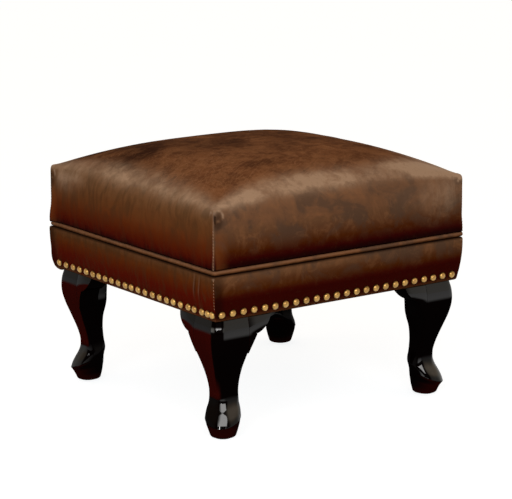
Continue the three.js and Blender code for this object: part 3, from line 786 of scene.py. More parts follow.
class Bench:
    """Does with operators what is done by hand, on one piece at a time."""

    @staticmethod
    def clear() -> None:
        """Leaves Edit Mode and deselects everything."""
        if bpy.context.mode != "OBJECT":
            bpy.ops.object.mode_set(mode="OBJECT")
        bpy.ops.object.select_all(action="DESELECT")

    @classmethod
    def only(cls, piece: Piece) -> Piece:
        """Selects one piece and makes it active."""
        cls.clear()
        piece.select_set(True)
        bpy.context.view_layer.objects.active = piece
        return piece

    @classmethod
    def primitive(cls, kind: Primitive, name: str, **settings: object) -> Piece:
        """Adds a starting shape.

        Args:
            kind: The shape.
            name: The piece's name.
            settings: The operator's own settings.

        Returns:
            The new piece.
        """
        cls.clear()
        getattr(bpy.ops.mesh, kind.value)(**settings)
        piece = bpy.context.active_object
        piece.name = piece.data.name = name
        bpy.ops.object.transform_apply(location=True, rotation=True, scale=True)
        return piece

    @classmethod
    @contextmanager
    def editing(cls, piece: Piece) -> Iterator[None]:
        """Works on a piece in Edit Mode, with nothing selected at first."""
        cls.only(piece)
        bpy.ops.object.mode_set(mode="EDIT")
        bpy.ops.mesh.select_all(action="DESELECT")
        yield
        bpy.ops.object.mode_set(mode="OBJECT")

    @staticmethod
    def pick_edges(test: Callable[[Vector, Vector], bool]) -> None:
        """Selects the edges whose two ends pass a test, and no others."""
        bpy.ops.mesh.select_mode(type="EDGE")
        bpy.ops.mesh.select_all(action="DESELECT")
        mesh = bpy.context.edit_object.data
        form = bmesh.from_edit_mesh(mesh)
        for edge in form.edges:
            edge.select_set(test(edge.verts[0].co, edge.verts[1].co))
        bmesh.update_edit_mesh(mesh)

    @staticmethod
    def points(piece: Piece) -> Array:
        """The places of a piece's vertices."""
        co = np.empty(len(piece.data.vertices) * 3)
        piece.data.vertices.foreach_get("co", co)
        return co.reshape(-1, 3)

    @staticmethod
    def move(piece: Piece, places: Array) -> None:
        """Puts a piece's vertices at new places."""
        piece.data.vertices.foreach_set("co", np.ascontiguousarray(places).ravel())
        piece.data.update()

    @staticmethod
    def normals(piece: Piece) -> Array:
        """The normals of a piece's vertices."""
        out = np.empty(len(piece.data.vertices) * 3)
        piece.data.vertices.foreach_get("normal", out)
        return out.reshape(-1, 3)

    @staticmethod
    def paint(piece: Piece, name: str, values: Array) -> None:
        """Writes a value at each vertex, for the material to read."""
        layer = piece.data.attributes.new(name, "FLOAT", "POINT")
        layer.data.foreach_set("value", np.ascontiguousarray(values, dtype=np.float32))

    @classmethod
    def modifier(cls, piece: Piece, kind: str, **settings: object) -> None:
        """Adds a modifier and applies it at once."""
        cls.only(piece)
        made = piece.modifiers.new(kind.lower(), kind)
        for key, setting in settings.items():
            setattr(made, key, setting)
        bpy.ops.object.modifier_apply(modifier=made.name)

    @classmethod
    def subdivide(cls, piece: Piece, levels: int = 1) -> None:
        """Smooths a piece by a subdivision surface."""
        cls.modifier(piece, "SUBSURF", levels=levels, render_levels=levels)

    @classmethod
    def smooth(cls, piece: Piece, degrees: float = 35) -> None:
        """Shades a piece smooth, but for edges sharper than an angle."""
        cls.only(piece)
        bpy.ops.object.shade_smooth_by_angle(angle=math.radians(degrees))

    @classmethod
    def outward(cls, piece: Piece) -> None:
        """Turns a closed piece's faces outward."""
        with cls.editing(piece):
            bpy.ops.mesh.select_all(action="SELECT")
            bpy.ops.mesh.normals_make_consistent(inside=False)

    @classmethod
    def copy(cls, piece: Piece, name: str, matrix: Matrix) -> Piece:
        """Copies a piece with its own mesh and puts the copy in place.

        Args:
            piece: The piece to copy.
            name: The copy's name.
            matrix: Where the copy goes.

        Returns:
            The copy.
        """
        twin = piece.copy()
        twin.data = piece.data.copy()
        twin.name = twin.data.name = name
        twin.data.transform(matrix)
        if matrix.determinant() < 0:
            twin.data.flip_normals()
        bpy.context.scene.collection.objects.link(twin)
        return twin

    @classmethod
    def join(cls, pieces: list[Piece], name: str) -> Piece:
        """Joins pieces into one."""
        cls.clear()
        for piece in pieces:
            piece.select_set(True)
        bpy.context.view_layer.objects.active = pieces[0]
        bpy.ops.object.join()
        joined = bpy.context.active_object
        joined.name = joined.data.name = name
        return joined

    @staticmethod
    def drop(piece: Piece) -> None:
        """Removes a pattern piece that was only copied from."""
        bpy.data.objects.remove(piece)


def dress(piece: Piece, material: Material, slot: str, *stands_for: str) -> Piece:
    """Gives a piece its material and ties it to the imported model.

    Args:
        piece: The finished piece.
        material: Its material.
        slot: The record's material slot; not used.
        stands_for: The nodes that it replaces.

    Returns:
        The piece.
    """
    piece.data.materials.clear()
    piece.data.materials.append(material)
    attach(piece, "root")
    if stands_for:
        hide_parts(*stands_for)
    log.info("%s: %d faces", piece.name, len(piece.data.polygons))
    return piece


def smoothstep(low: float, high: float, value: Array) -> Array:
    """Rises smoothly from 0 at low to 1 at high."""
    share = np.clip((value - low) / (high - low), 0, 1)
    return share * share * (3 - 2 * share)


def crowd(share: Array, pull: float) -> Array:
    """Crowds lines that lie evenly from -1 to 1 towards both ends."""
    size = np.abs(share)
    return np.sign(share) * ((1 - pull) * size + pull * np.sin(size * math.pi / 2))


def round_square(middles: Array, radii: Array, arc_steps: int, flat_steps: int) -> Array:
    """Points round a square with rounded corners, turning left.

    Args:
        middles: The middles of its four arcs, from the one at positive X and negative Y.
        radii: The radii of the arcs.
        arc_steps: How many steps each arc takes.
        flat_steps: How many points stand on each straight side.

    Returns:
        The points.
    """
    arcs = []
    for turn, (middle, radius) in enumerate(zip(middles, radii)):
        angle = (turn - 1 + np.arange(arc_steps + 1) / arc_steps) * math.pi / 2
        arcs.append(middle + radius * np.column_stack([np.cos(angle), np.sin(angle)]))
    ring = []
    for arc, following in zip(arcs, arcs[1:] + arcs[:1]):
        ring += [*arc, *np.linspace(arc[-1], following[0], flat_steps + 2)[1:-1]]
    return np.array(ring)


@dataclass(frozen=True)
class Hump:
    """A smooth hump, 1 high, along one measure."""

    centre: float
    width: float
    power: int = 2

    def at(self, place: Array) -> Array:
        """Its height at places along the measure."""
        return np.exp(-(((place - self.centre) / self.width) ** self.power))


@dataclass(frozen=True)
class Slope:
    """A smooth slope along one measure: 0 at its foot and 1 at its head."""

    foot: float
    head: float

    def at(self, place: Array) -> Array:
        """Its height at places along the measure."""
        return smoothstep(self.foot, self.head, place)


@dataclass(frozen=True)
class Oval:
    """An oval on a face, by its middle and its half axes."""

    across: float
    down: float
    half_width: float
    half_height: float

    def far(self, across: Array, down: Array) -> Array:
        """How far places lie from the middle, where 1 is on the oval."""
        return np.hypot((across - self.across) / self.half_width, (down - self.down) / self.half_height)


class Ripple:
    """Smooth random waves of one length, the same on every run."""

    def __init__(self, seed: int, length: float, count: int = 400) -> None:
        """Draws the waves.

        Args:
            seed: Which waves.
            length: The distance from one knot to the next.
            count: How many knots before they repeat.
        """
        self.knots = np.random.default_rng(seed).uniform(-1, 1, count)
        self.length = length

    def at(self, place: Array) -> Array:
        """The waves' height, from -1 to 1, at places along a line."""
        where = place / self.length
        left = np.floor(where).astype(int)
        share = where - left
        ease = share * share * (3 - 2 * share)
        count = len(self.knots)
        return self.knots[left % count] * (1 - ease) + self.knots[(left + 1) % count] * ease


# The seat's sizes


@dataclass(frozen=True)
class SeatSizes:
    """Sizes that several pieces share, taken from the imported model."""

    half_width: float = field(default_factory=lambda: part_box("welt")[1].x)
    half_depth: float = field(default_factory=lambda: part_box("welt")[1].y)
    leg_top: float = field(default_factory=lambda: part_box("leg_front_left")[1].z)
    leg_base: float = field(default_factory=lambda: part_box("leg_front_left")[0].z)
    border_bottom: float = field(default_factory=lambda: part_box("border_front")[0].z)
    border_top: float = field(default_factory=lambda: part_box("border_front")[1].z)
    cover_bottom: float = field(default_factory=lambda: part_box("seat_cover")[0].z)
    welt_height: float = field(
        default_factory=lambda: (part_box("welt")[0].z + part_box("welt")[1].z) / 2
    )

    def half_length(self, side: Side) -> float:
        """Half the length of a side."""
        return self.half_width if side.along.x else self.half_depth

    def reach(self, side: Side) -> float:
        """How far a side stands from the middle."""
        return self.half_depth if side.along.x else self.half_width


# Legs


@dataclass(frozen=True)
class LegStation:
    """One section of the leg, in shares of the blank's width, at a share of its length."""

    height: float
    outer: float
    inner: float
    ridge: float
    side: float
    heel: float
    tilt: float = 0.0


@dataclass
class CabrioleLegs:
    """Four cabriole legs, each with a scrolled knee block on both sides."""

    sizes: SeatSizes
    finish: Material
    blank: float = 66 * MM
    stations: tuple[LegStation, ...] = (
        LegStation(0.162, 0.45, -0.455, 0.385, 0.435, 0.435, 0.06),
        LegStation(0.193, 0.408, -0.458, 0.36, 0.4, 0.41, 0.05),
        LegStation(0.222, 0.342, -0.457, 0.315, 0.335, 0.365, 0.038),
        LegStation(0.261, 0.256, -0.446, 0.265, 0.25, 0.3, 0.022),
        LegStation(0.304, 0.205, -0.424, 0.235, 0.165, 0.235, 0.009),
        LegStation(0.35, 0.195, -0.403, 0.22, 0.125, 0.215),
        LegStation(0.4, 0.208, -0.388, 0.215, 0.105, 0.205),
        LegStation(0.482, 0.268, -0.378, 0.215, 0.09, 0.2),
        LegStation(0.581, 0.366, -0.39, 0.225, 0.07, 0.18),
        LegStation(0.66, 0.448, -0.428, 0.235, 0.05, 0.15),
        LegStation(0.72, 0.504, -0.447, 0.245, 0.008, 0.12),
        LegStation(0.79, 0.549, -0.447, 0.25, 0.006, 0.09),
        LegStation(0.86, 0.562, -0.447, 0.25, 0.006, 0.06),
        LegStation(0.93, 0.542, -0.447, 0.245, 0.006, 0.05),
        LegStation(1, 0.488, -0.447, 0.23, 0.006, 0.03),
    )
    foot_rows: tuple[tuple[float, float, float, float], ...] = (
        (0.0, 0.27, 0.298, 0.0),
        (0.003, 0.294, 0.322, 0.0),
        (0.010, 0.315, 0.345, 0.0),
        (0.05, 0.355, 0.39, 0.016),
        (0.11, 0.414, 0.435, 0.04),
        (0.155, 0.446, 0.453, 0.0575),
    )
    arc_steps: int = 10
    flat_steps: int = 4
    rings: int = 84
    foot_rings: int = 16
    block_reach: float = 46 * MM
    block_thickness: float = 40 * MM
    block_height: float = 62 * MM
    block_tip: float = 1.5 * MM
    block_waist: float = 15.5 * MM
    block_hollow: float = 6.5 * MM
    lobe_height: float = 29 * MM
    lobe_step: float = 2 * MM
    lobe_power: float = 1.5
    waist_steps: int = 14
    lobe_steps: int = 24
    block_slices: int = 26
    block_bevel: float = 0.3 * MM
    block_bevel_degrees: float = 50
    foot_even_share: float = 0.02
    smooth_degrees: float = 40
    gap: float = 0.3 * MM

    @property
    def length(self) -> float:
        """The leg's length."""
        return self.sizes.leg_top - self.sizes.leg_base

    def centre(self, corner: Corner) -> Vector:
        """The point on the floor under the middle of a corner's blank."""
        low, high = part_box(f"glide_{corner.label}")
        return Vector(((low.x + high.x) / 2, (low.y + high.y) / 2, 0))

    def outline(self) -> Array:
        """Rows of height, outer, inner, ridge, side, heel and tilt, from the foot up."""
        table = np.array(
            [[s.height, s.outer, s.inner, s.ridge, s.side, s.heel, s.tilt] for s in self.stations]
        )
        padded = np.vstack([2 * table[0] - table[1], table, 2 * table[-1] - table[-2]])
        places = np.linspace(0, len(table) - 1, self.rings - self.foot_rings)
        rows = [self._curve(padded, place) for place in places]
        heights, toes, heels, tilts = np.array(self.foot_rows).T
        steps = np.concatenate(
            [heights[:3], np.linspace(self.foot_even_share, heights[-1], self.foot_rings - 3)]
        )
        foot = []
        for height in steps:
            toe, heel, tilt = (np.interp(height, heights, row) for row in (toes, heels, tilts))
            radius = (toe + heel) / 2
            eased = (height / heights[-1]) ** 3
            ridge = radius + (table[0, 3] - radius) * eased
            foot.append([height, toe, -heel, ridge, radius, radius, tilt])
        scale = [self.length, *[self.blank] * 5, self.length]
        return np.vstack([foot, rows]) * np.array(scale)

    @staticmethod
    def _curve(rows: Array, place: float) -> Array:
        """A point on the smooth curve through rows, with an extra row at both ends."""
        index = min(int(place), len(rows) - 4)
        t = place - index
        a, b, c, d = rows[index : index + 4]
        return 0.5 * (
            2 * b + (c - a) * t + (2 * a - 5 * b + 4 * c - d) * t**2 + (3 * b - a - 3 * c + d) * t**3
        )

    def section(self, row: Array) -> Array:
        """The points round the leg at one row of the outline.

        Args:
            row: Height, outer, inner, ridge, side, heel and tilt.

        Returns:
            The points, from the corner beside the ridge, turning left.
        """
        height, outer, inner, ridge, side, heel, tilt = row
        corners = np.array([(outer, inner), (outer, outer), (inner, outer), (inner, inner)])
        radii = np.array([side, ridge, side, heel])
        middles = corners - np.copysign(radii[:, None], corners - (outer + inner) / 2)
        flat = round_square(middles, radii, self.arc_steps, self.flat_steps)
        toe = self.stations[0].outer * self.blank
        return np.column_stack([flat, height - tilt * flat.sum(axis=1) / (math.sqrt(2) * toe)])

    def build_leg(self) -> Piece:
        """Models one leg: a round blank, ringed along its length and drawn to the curve.

        Returns:
            The leg, with its ridge towards +X and +Y and its foot at the origin.
        """
        outline = self.outline()
        count = 4 * (self.arc_steps + 1 + self.flat_steps)
        leg = Bench.primitive(
            Primitive.CYLINDER,
            "leg_pattern",
            vertices=count,
            radius=self.blank / 2,
            depth=self.length,
            end_fill_type="NGON",
            location=(0, 0, self.length / 2),
        )
        with Bench.editing(leg):
            Bench.pick_edges(lambda a, b: abs(a.z - b.z) > self.length / 2)
            bpy.ops.mesh.subdivide(number_cuts=len(outline) - 2)
        co = Bench.points(leg)
        ring = np.rint(co[:, 2] / self.length * (len(outline) - 1)).astype(int)
        angle = np.arctan2(co[:, 1], co[:, 0]) + math.pi / 2
        spoke = np.rint(angle / (2 * math.pi) * count).astype(int) % count
        sections = np.array([self.section(row) for row in outline])
        Bench.move(leg, sections[ring, spoke])
        Bench.smooth(leg, self.smooth_degrees)
        return leg

    def scroll(self) -> list[Pair]:
        """The knee block's outline: along the rail, and down from its top at 0."""
        points = [(0.0, 0.0), (0.0, -self.block_height), (self.block_tip, -self.block_height)]
        waist_top = -self.lobe_height - self.lobe_step
        middle = (-self.block_height + waist_top) / 2
        for step in range(1, self.waist_steps + 1):
            t = step / self.waist_steps
            tip, hollow, waist = (1 - t) ** 2, 2 * t * (1 - t), t * t
            x = tip * self.block_tip + hollow * self.block_hollow + waist * self.block_waist
            points.append((x, -tip * self.block_height + hollow * middle + waist * waist_top))
        lobe_width = self.block_reach - self.block_waist
        for step in range(self.lobe_steps):
            angle = step / self.lobe_steps * math.pi / 2
            across = math.sin(angle) ** (2 / self.lobe_power)
            down = math.cos(angle) ** (2 / self.lobe_power)
            points.append((self.block_waist + lobe_width * across, -self.lobe_height * down))
        points.append((self.block_reach, 0.0))
        return points

    def build_block(self) -> Piece:
        """Models one knee block: the scroll sawn out, sliced and planed to the knee's curve.

        Returns:
            The block, beside a leg at the origin, its face towards +Y.
        """
        outline = self.outline()
        inner_face = self.stations[-1].inner * self.blank - self.gap
        scroll = self.scroll()
        block = Bench.primitive(
            Primitive.CIRCLE,
            "block_pattern",
            vertices=len(scroll),
            radius=self.lobe_height,
            fill_type="NGON",
        )
        co = Bench.points(block)
        order = np.argsort(np.arctan2(co[:, 1], co[:, 0]))
        co[order] = [(inner_face - x, 0.0, self.length + z) for x, z in scroll]
        Bench.move(block, co)
        with Bench.editing(block):
            bpy.ops.mesh.select_all(action="SELECT")
            bpy.ops.mesh.extrude_region_move(
                TRANSFORM_OT_translate={"value": (0, -self.block_thickness, 0)}
            )
            for step in range(1, self.block_slices):
                bpy.ops.mesh.select_all(action="SELECT")
                height = self.length - self.block_height * step / self.block_slices
                bpy.ops.mesh.bisect(plane_co=(0, 0, height), plane_no=(0, 0, 1))
        co = Bench.points(block)
        co[:, 1] += np.interp(co[:, 2], outline[:, 0], outline[:, 1])
        Bench.move(block, co)
        Bench.outward(block)
        Bench.modifier(
            block,
            "BEVEL",
            width=self.block_bevel,
            segments=2,
            limit_method="ANGLE",
            angle_limit=math.radians(self.block_bevel_degrees),
        )
        Bench.smooth(block, self.smooth_degrees)
        return block

    def build(self) -> None:
        """Models one leg and one block, and sets copies of them at the four corners."""
        leg = self.build_leg()
        block = self.build_block()
        for corner in Corner:
            x, y = corner.signs
            stand = Matrix.Translation(self.centre(corner) + Vector((0, 0, self.sizes.leg_base)))
            stand = stand @ Matrix.Diagonal((x, y, 1, 1))
            swap = Matrix(((0, 1, 0, 0), (1, 0, 0, 0), (0, 0, 1, 0), (0, 0, 0, 1)))
            front_or_back, left_or_right = corner.label.split("_")
            name = f"leg_{corner.label}"
            dress(Bench.copy(leg, f"turned_{name}", stand), self.finish, "dark_wood", name)
            for side, matrix in ((front_or_back, stand), (left_or_right, stand @ swap)):
                name = f"knee_block_{corner.label}_on_{side}"
                dress(Bench.copy(block, f"scrolled_{name}", matrix), self.finish, "dark_wood", name)
        Bench.drop(leg)
        Bench.drop(block)


# Border and nails


@dataclass
class Border:
    """Four leather panels round the frame, tucked in towards their foot."""

    sizes: SeatSizes
    finish: Material
    tuck: float = 7.5 * MM
    tuck_power: float = 2.2
    top_inset: float = 0.5 * MM
    leather: float = 1.4 * MM
    turn_under: float = 26 * MM
    foot_radius: float = 2.2 * MM
    foot_arc: tuple[float, float, int] = (0.2, math.pi / 2 - 0.25, 5)
    face_steps: int = 60
    top_cut: float = 1.8 * MM
    top_turn: tuple[Pair, ...] = ((2.5 * MM, 0.5 * MM), (11 * MM, 0.6 * MM))
    gap: float = 0.3 * MM
    across: int = 240
    down: int = 46
    crowding: float = 0.3
    corner_round: float = 1.2 * MM
    corner_turn_share: float = 0.8
    corner_swell: float = 2.0 * MM
    corner_fade: float = 18 * MM
    corner_slope: Slope = Slope(4 * MM, 30 * MM)
    foot_swell: float = 3.6 * MM
    foot_fade: float = 9 * MM
    foot_hump: Hump = Hump(10 * MM, 18 * MM)
    foot_slope: Slope = Slope(0, 4 * MM)
    hang_drop: float = 3.4 * MM
    hang_along: Hump = Hump(7 * MM, 6 * MM, 4)
    hang_slope: Slope = Slope(12 * MM, 1 * MM)
    hang_inset: Slope = Slope(9 * MM, 3 * MM)
    face_slope: Slope = Slope(2 * MM, 6 * MM)
    dent_depth: float = 0.75 * MM
    dent_width: float = 4.6 * MM
    fan_depth: float = 0.30 * MM
    fan_hump: Hump = Hump(0, 3.2 * MM)
    fan_fade: float = 13 * MM
    fan_slope: Slope = Slope(-3 * MM, 3 * MM)
    gather_depth: float = 0.32 * MM
    gather_lean: float = 0.18
    gather_lengths: Pair = (6.5 * MM, 12 * MM)
    gather_low: Slope = Slope(0, 12 * MM)
    gather_high: Slope = Slope(35 * MM, 74 * MM)
    padding_depth: float = 0.45 * MM
    padding_low: float = 12 * MM
    padding_height: float = 66 * MM
    slack_length: float = 70 * MM
    tucked_depth: float = 1.3 * MM
    tucked_hump: Hump = Hump(0, 1.8 * MM)
    pucker_depth: float = 0.7 * MM
    pucker_bend: float = 1.6 * MM
    pucker_wave: float = 9 * MM
    pucker_far: Hump = Hump(58 * MM, 1.9 * MM)
    pucker_near: Hump = Hump(44 * MM, 1.7 * MM)
    pucker_height: Hump = Hump(54 * MM, 18 * MM, 4)
    pucker_trough: float = 3.4 * MM
    # Painted shade: the shadow under the welt and the shade beside each corner seam.
    joint: Slope = Slope(2.4 * MM, 0.6 * MM)
    shadow: Hump = Hump(0, 17 * MM, 4)
    shadow_slope: Slope = Slope(2 * MM, 8 * MM)
    bar_along: Hump = Hump(0, 6 * MM, 4)
    bar_down: Hump = Hump(3.4 * MM, 1.5 * MM)

    def inset(self, height: Array) -> Array:
        """How far the leather's face stands in from the seat's edge at a height."""
        bottom = self.sizes.border_bottom
        share = (height - bottom) / (self.sizes.border_top - bottom)
        return self.top_inset + self.tuck * np.power(np.clip(1 - share, 0, 1), self.tuck_power)

    def profile(self, share: Array) -> tuple[Array, Array]:
        """The way from under the rail, round the foot and up the face.

        Args:
            share: Shares of the way, from 0 under the rail to 1 at the top.

        Returns:
            The inset and the height there.
        """
        bottom = self.sizes.border_bottom
        foot = self.top_inset + self.tuck
        under = [(foot + self.turn_under, bottom), (foot + self.foot_radius, bottom)]
        bend = [
            (
                foot + self.foot_radius * (1 - math.sin(angle)),
                bottom + self.foot_radius * (1 - math.cos(angle)),
            )
            for angle in np.linspace(*self.foot_arc)
        ]
        top = self.sizes.border_top - self.top_cut
        heights = np.linspace(bottom + self.foot_radius, top, self.face_steps)
        face = list(zip(self.inset(heights), heights))
        face += [(self.top_inset + inward, top + upward) for inward, upward in self.top_turn]
        way = np.array(under + bend + face)
        run = np.concatenate([[0], np.cumsum(np.linalg.norm(np.diff(way, axis=0), axis=1))])
        at = share * run[-1]
        return np.interp(at, run, way[:, 0]), np.interp(at, run, way[:, 1])

    def relief(self, along: Array, height: Array, nails: NailRow, side: Side, seed: int) -> Array:
        """How far the leather stands out, from padding, gathers and the pull of the nails.

        Args:
            along: How far points are along the side.
            height: Their heights.
            nails: The nails that pull the leather in.
            side: The side.
            seed: Which gathers.

        Returns:
            How far each point stands out.
        """
        rise = height - self.sizes.border_bottom
        over = rise - nails.line
        nail_inset = float(self.inset(np.array(self.sizes.border_bottom + nails.line)))
        places = nails.places(side, nail_inset)
        across = along - places[np.abs(along[:, None] - places).argmin(axis=1)]
        dent = np.exp(-(across**2 + over**2) / (2 * self.dent_width**2))
        fan = self.fan_hump.at(across) * np.exp(-np.clip(over, 0, 1) / self.fan_fade)
        fan *= self.fan_slope.at(over)
        run = along + self.gather_lean * rise + RUN_START
        fine, broad = (Ripple(seed + n, length).at(run) for n, length in enumerate(self.gather_lengths))
        gathers = (0.55 * fine + 0.45 * broad) * self.gather_low.at(over)
        gathers *= 1 - 0.75 * self.gather_high.at(rise)
        slack = 0.6 * Ripple(seed + 2, self.slack_length).at(along + RUN_START)
        padding = np.sin(math.pi * np.clip((rise - self.padding_low) / self.padding_height, 0, 1))
        top = self.sizes.border_top - self.top_cut - height
        pucker = self.puckers(self.sizes.half_length(side) - along, rise) * (side is Side.LEFT)
        return self.face_slope.at(rise) * (
            -self.dent_depth * dent
            - self.fan_depth * fan
            + self.gather_depth * gathers
            + self.padding_depth * padding * (1 + slack)
            + self.pucker_depth * pucker
            - self.tucked_depth * self.tucked_hump.at(top)
        )

    @staticmethod
    def at_full_corner(side: Side, along: Array) -> Array:
        """Where a side is on its way to the back left corner, whose leather is fuller."""
        if side is Side.LEFT:
            return 1.0 * (along < 0)
        return 1.0 * (along > 0) if side is Side.BACK else 0.0 * along

    def puckers(self, end: Array, rise: Array) -> Array:
        """Two upright puckers near a corner.

        Args:
            end: How far points are from the end of the side.
            rise: How far they are over the border's foot.

        Returns:
            Their strength at each point.
        """
        bent = end + self.pucker_bend * np.sin(rise / self.pucker_wave)
        strength = self.pucker_far.at(bent) + 0.8 * self.pucker_near.at(bent)
        return strength * self.pucker_height.at(rise)

    def paint(self, panel: Piece, side: Side, along: Array, half: Array, height: Array) -> None:
        """Paints shade and highlights: the shadow under the welt, the shade beside each corner seam and
        in the puckers' troughs, and highlights on the puckers' crests and on a bar at the head of each
        corner seam.

        Args:
            panel: The panel.
            side: Its side.
            along: How far each point is along the side.
            half: Half the panel's length at its height.
            height: Its height.
        """
        end = half - np.abs(along)
        top = self.sizes.border_top - self.top_cut - height
        rise = height - self.sizes.border_bottom
        # Painted shade: the shadow under the welt and beside each corner seam.
        shade = 0.58 * self.shadow.at(end) * (along < 0) * self.shadow_slope.at(rise)
        dark = np.maximum(0.95 * self.joint.at(top), shade)
        # Painted highlights on a bar under the welt at each corner seam and on the puckers' crests;
        # painted shade in their troughs.
        bar = (along > 0) * self.bar_along.at(end) * self.bar_down.at(top)
        folded = (along > 0) * (side is Side.LEFT)
        crest = folded * self.puckers(end, rise)
        trough = folded * self.puckers(end + self.pucker_trough, rise)
        Bench.paint(panel, "dark", np.maximum(dark * (1 - 0.9 * bar), 0.45 * trough))
        Bench.paint(panel, "rub", np.clip(0.85 * bar + 0.20 * crest, 0, 1))

    def build(self, nails: NailRow) -> None:
        """Models the four panels.

        Args:
            nails: The row of nails that the leather is pulled in by.
        """
        for number, side in enumerate(Side):
            panel = Bench.primitive(
                Primitive.GRID,
                f"leather_border_{side.label}",
                x_subdivisions=self.across,
                y_subdivisions=self.down,
                size=2,
            )
            co = Bench.points(panel)
            inset, height = self.profile((co[:, 1] + 1) / 2)
            rise = height - self.sizes.border_bottom
            full = self.at_full_corner(side, co[:, 0])
            swell = self.corner_swell * full * self.corner_slope.at(rise)
            foot = self.foot_swell * full * self.foot_hump.at(rise) * self.foot_slope.at(rise)
            half = self.sizes.half_length(side) - inset - self.gap + swell + foot
            along = crowd(co[:, 0], self.crowding) * half
            end = half - np.abs(along)
            out = self.relief(along, height, nails, side, 10 * number + 3)
            out += swell * np.exp(-end / self.corner_fade) + foot * np.exp(-end / self.foot_fade)
            left = self.corner_round - np.clip(end, 0, self.corner_round)
            turn = self.corner_round - np.sqrt(np.maximum(self.corner_round**2 - left**2, 0))
            reach = self.sizes.reach(side) - inset + out - self.corner_turn_share * turn
            place = np.outer(along, side.along) + np.outer(reach, side.out)
            hang = self.hang_along.at(along + half) * (side is Side.LEFT) * self.hang_slope.at(rise)
            hang *= self.hang_inset.at(inset - self.top_inset - self.tuck)
            place[:, 2] = height - self.hang_drop * hang
            Bench.move(panel, place)
            self.paint(panel, side, along, half, height)
            Bench.modifier(panel, "SOLIDIFY", thickness=self.leather, offset=-1)
            Bench.smooth(panel, 60)
            nodes = (f"border_{side.label}", f"border_wadding_{side.label}")
            dress(panel, self.finish, "border_leather", *nodes)


@dataclass
class NailRow:
    """Dome-headed nails along the foot of each side."""

    sizes: SeatSizes
    finish: Material
    count: int = 24
    radius: float = 6.4 * MM
    height: float = 5.7 * MM
    line: float = 12 * MM
    left_shares: tuple[float, ...] = (
        -0.934, -0.84, -0.743, -0.653, -0.564, -0.477, -0.395, -0.312, -0.23, -0.144, -0.056, 0.022,
        0.106, 0.192, 0.283, 0.367, 0.452, 0.531, 0.615, 0.703, 0.774, 0.858, 0.92, 0.97,
    )
    front_span: float = 0.985
    front_shift: float = -0.009
    seat: float = 0.9 * MM
    sunk: float = 0.35 * MM
    dome_power: float = 0.92
    wander_along: float = 0.25
    wander_up: float = 0.3
    wander_degrees: float = 2.2
    wander: random.Random = field(default_factory=lambda: random.Random(11))

    def places(self, side: Side, inset: float) -> Array:
        """How far each nail of a side is along it.

        Args:
            side: The side.
            inset: How far the leather stands in at the nails.

        Returns:
            The places, from the middle of the side.
        """
        shares = (2 * np.arange(self.count) + 1) / self.count - 1
        if side is Side.FRONT:
            shares = shares * self.front_span + self.front_shift
        if side is Side.LEFT:
            shares = np.array(self.left_shares)
        return shares * (self.sizes.half_length(side) - inset)

    def build_nail(self) -> Piece:
        """Models one head: half a ball pressed flat, with a rolled rim.

        Returns:
            The head, standing on the origin towards +Z.
        """
        nail = Bench.primitive(
            Primitive.BALL, "nail_pattern", segments=20, ring_count=12, radius=self.radius
        )
        with Bench.editing(nail):
            bpy.ops.mesh.select_all(action="SELECT")
            bpy.ops.mesh.bisect(plane_co=(0, 0, 0), plane_no=(0, 0, 1), clear_inner=True)
            Bench.pick_edges(lambda a, b: max(abs(a.z), abs(b.z)) < 0.1 * MM)
            bpy.ops.mesh.extrude_edges_move(TRANSFORM_OT_translate={"value": (0, 0, -self.seat)})
        co = Bench.points(nail)
        dome = np.clip(co[:, 2] / self.radius, 0, 1)
        lift = np.where(co[:, 2] > 0, self.height * dome**self.dome_power, co[:, 2])
        Bench.move(nail, np.column_stack([co[:, 0], co[:, 1], lift]))
        # The dome's height, read by the painted shade towards the rim.
        Bench.paint(nail, "polish", dome)
        Bench.smooth(nail, 70)
        return nail

    def build(self, border: Border) -> None:
        """Sets a row of copies on each side, each a little out of true.

        Args:
            border: The panels that carry the nails.
        """
        nail = self.build_nail()
        height = self.sizes.border_bottom + self.line
        rise = self.radius / 2
        insets = border.inset(np.array([height - rise, height, height + rise]))
        lean = math.atan((insets[0] - insets[2]) / self.radius)
        for side in Side:
            axis = side.out * math.cos(lean) - Vector((0, 0, math.sin(lean)))
            up = axis.cross(side.along)
            row = []
            for along in self.places(side, insets[1]):
                along += self.wander.uniform(-self.wander_along, self.wander_along) * MM
                spot = side.along * along + side.out * (self.sizes.reach(side) - insets[1])
                spot.z = height + self.wander.uniform(-self.wander_up, self.wander_up) * MM
                spot -= axis * self.sunk
                stand = Matrix((side.along, up, axis)).transposed().to_4x4()
                tip = Matrix.Identity(4)
                for name in "XY":
                    angle = math.radians(self.wander.gauss(0, self.wander_degrees))
                    tip @= Matrix.Rotation(angle, 4, name)
                row.append(Bench.copy(nail, "nail", Matrix.Translation(spot) @ stand @ tip))
            dress(Bench.join(row, f"nail_heads_{side.label}"), self.finish, "nail_brass")
        Bench.drop(nail)


# Welt


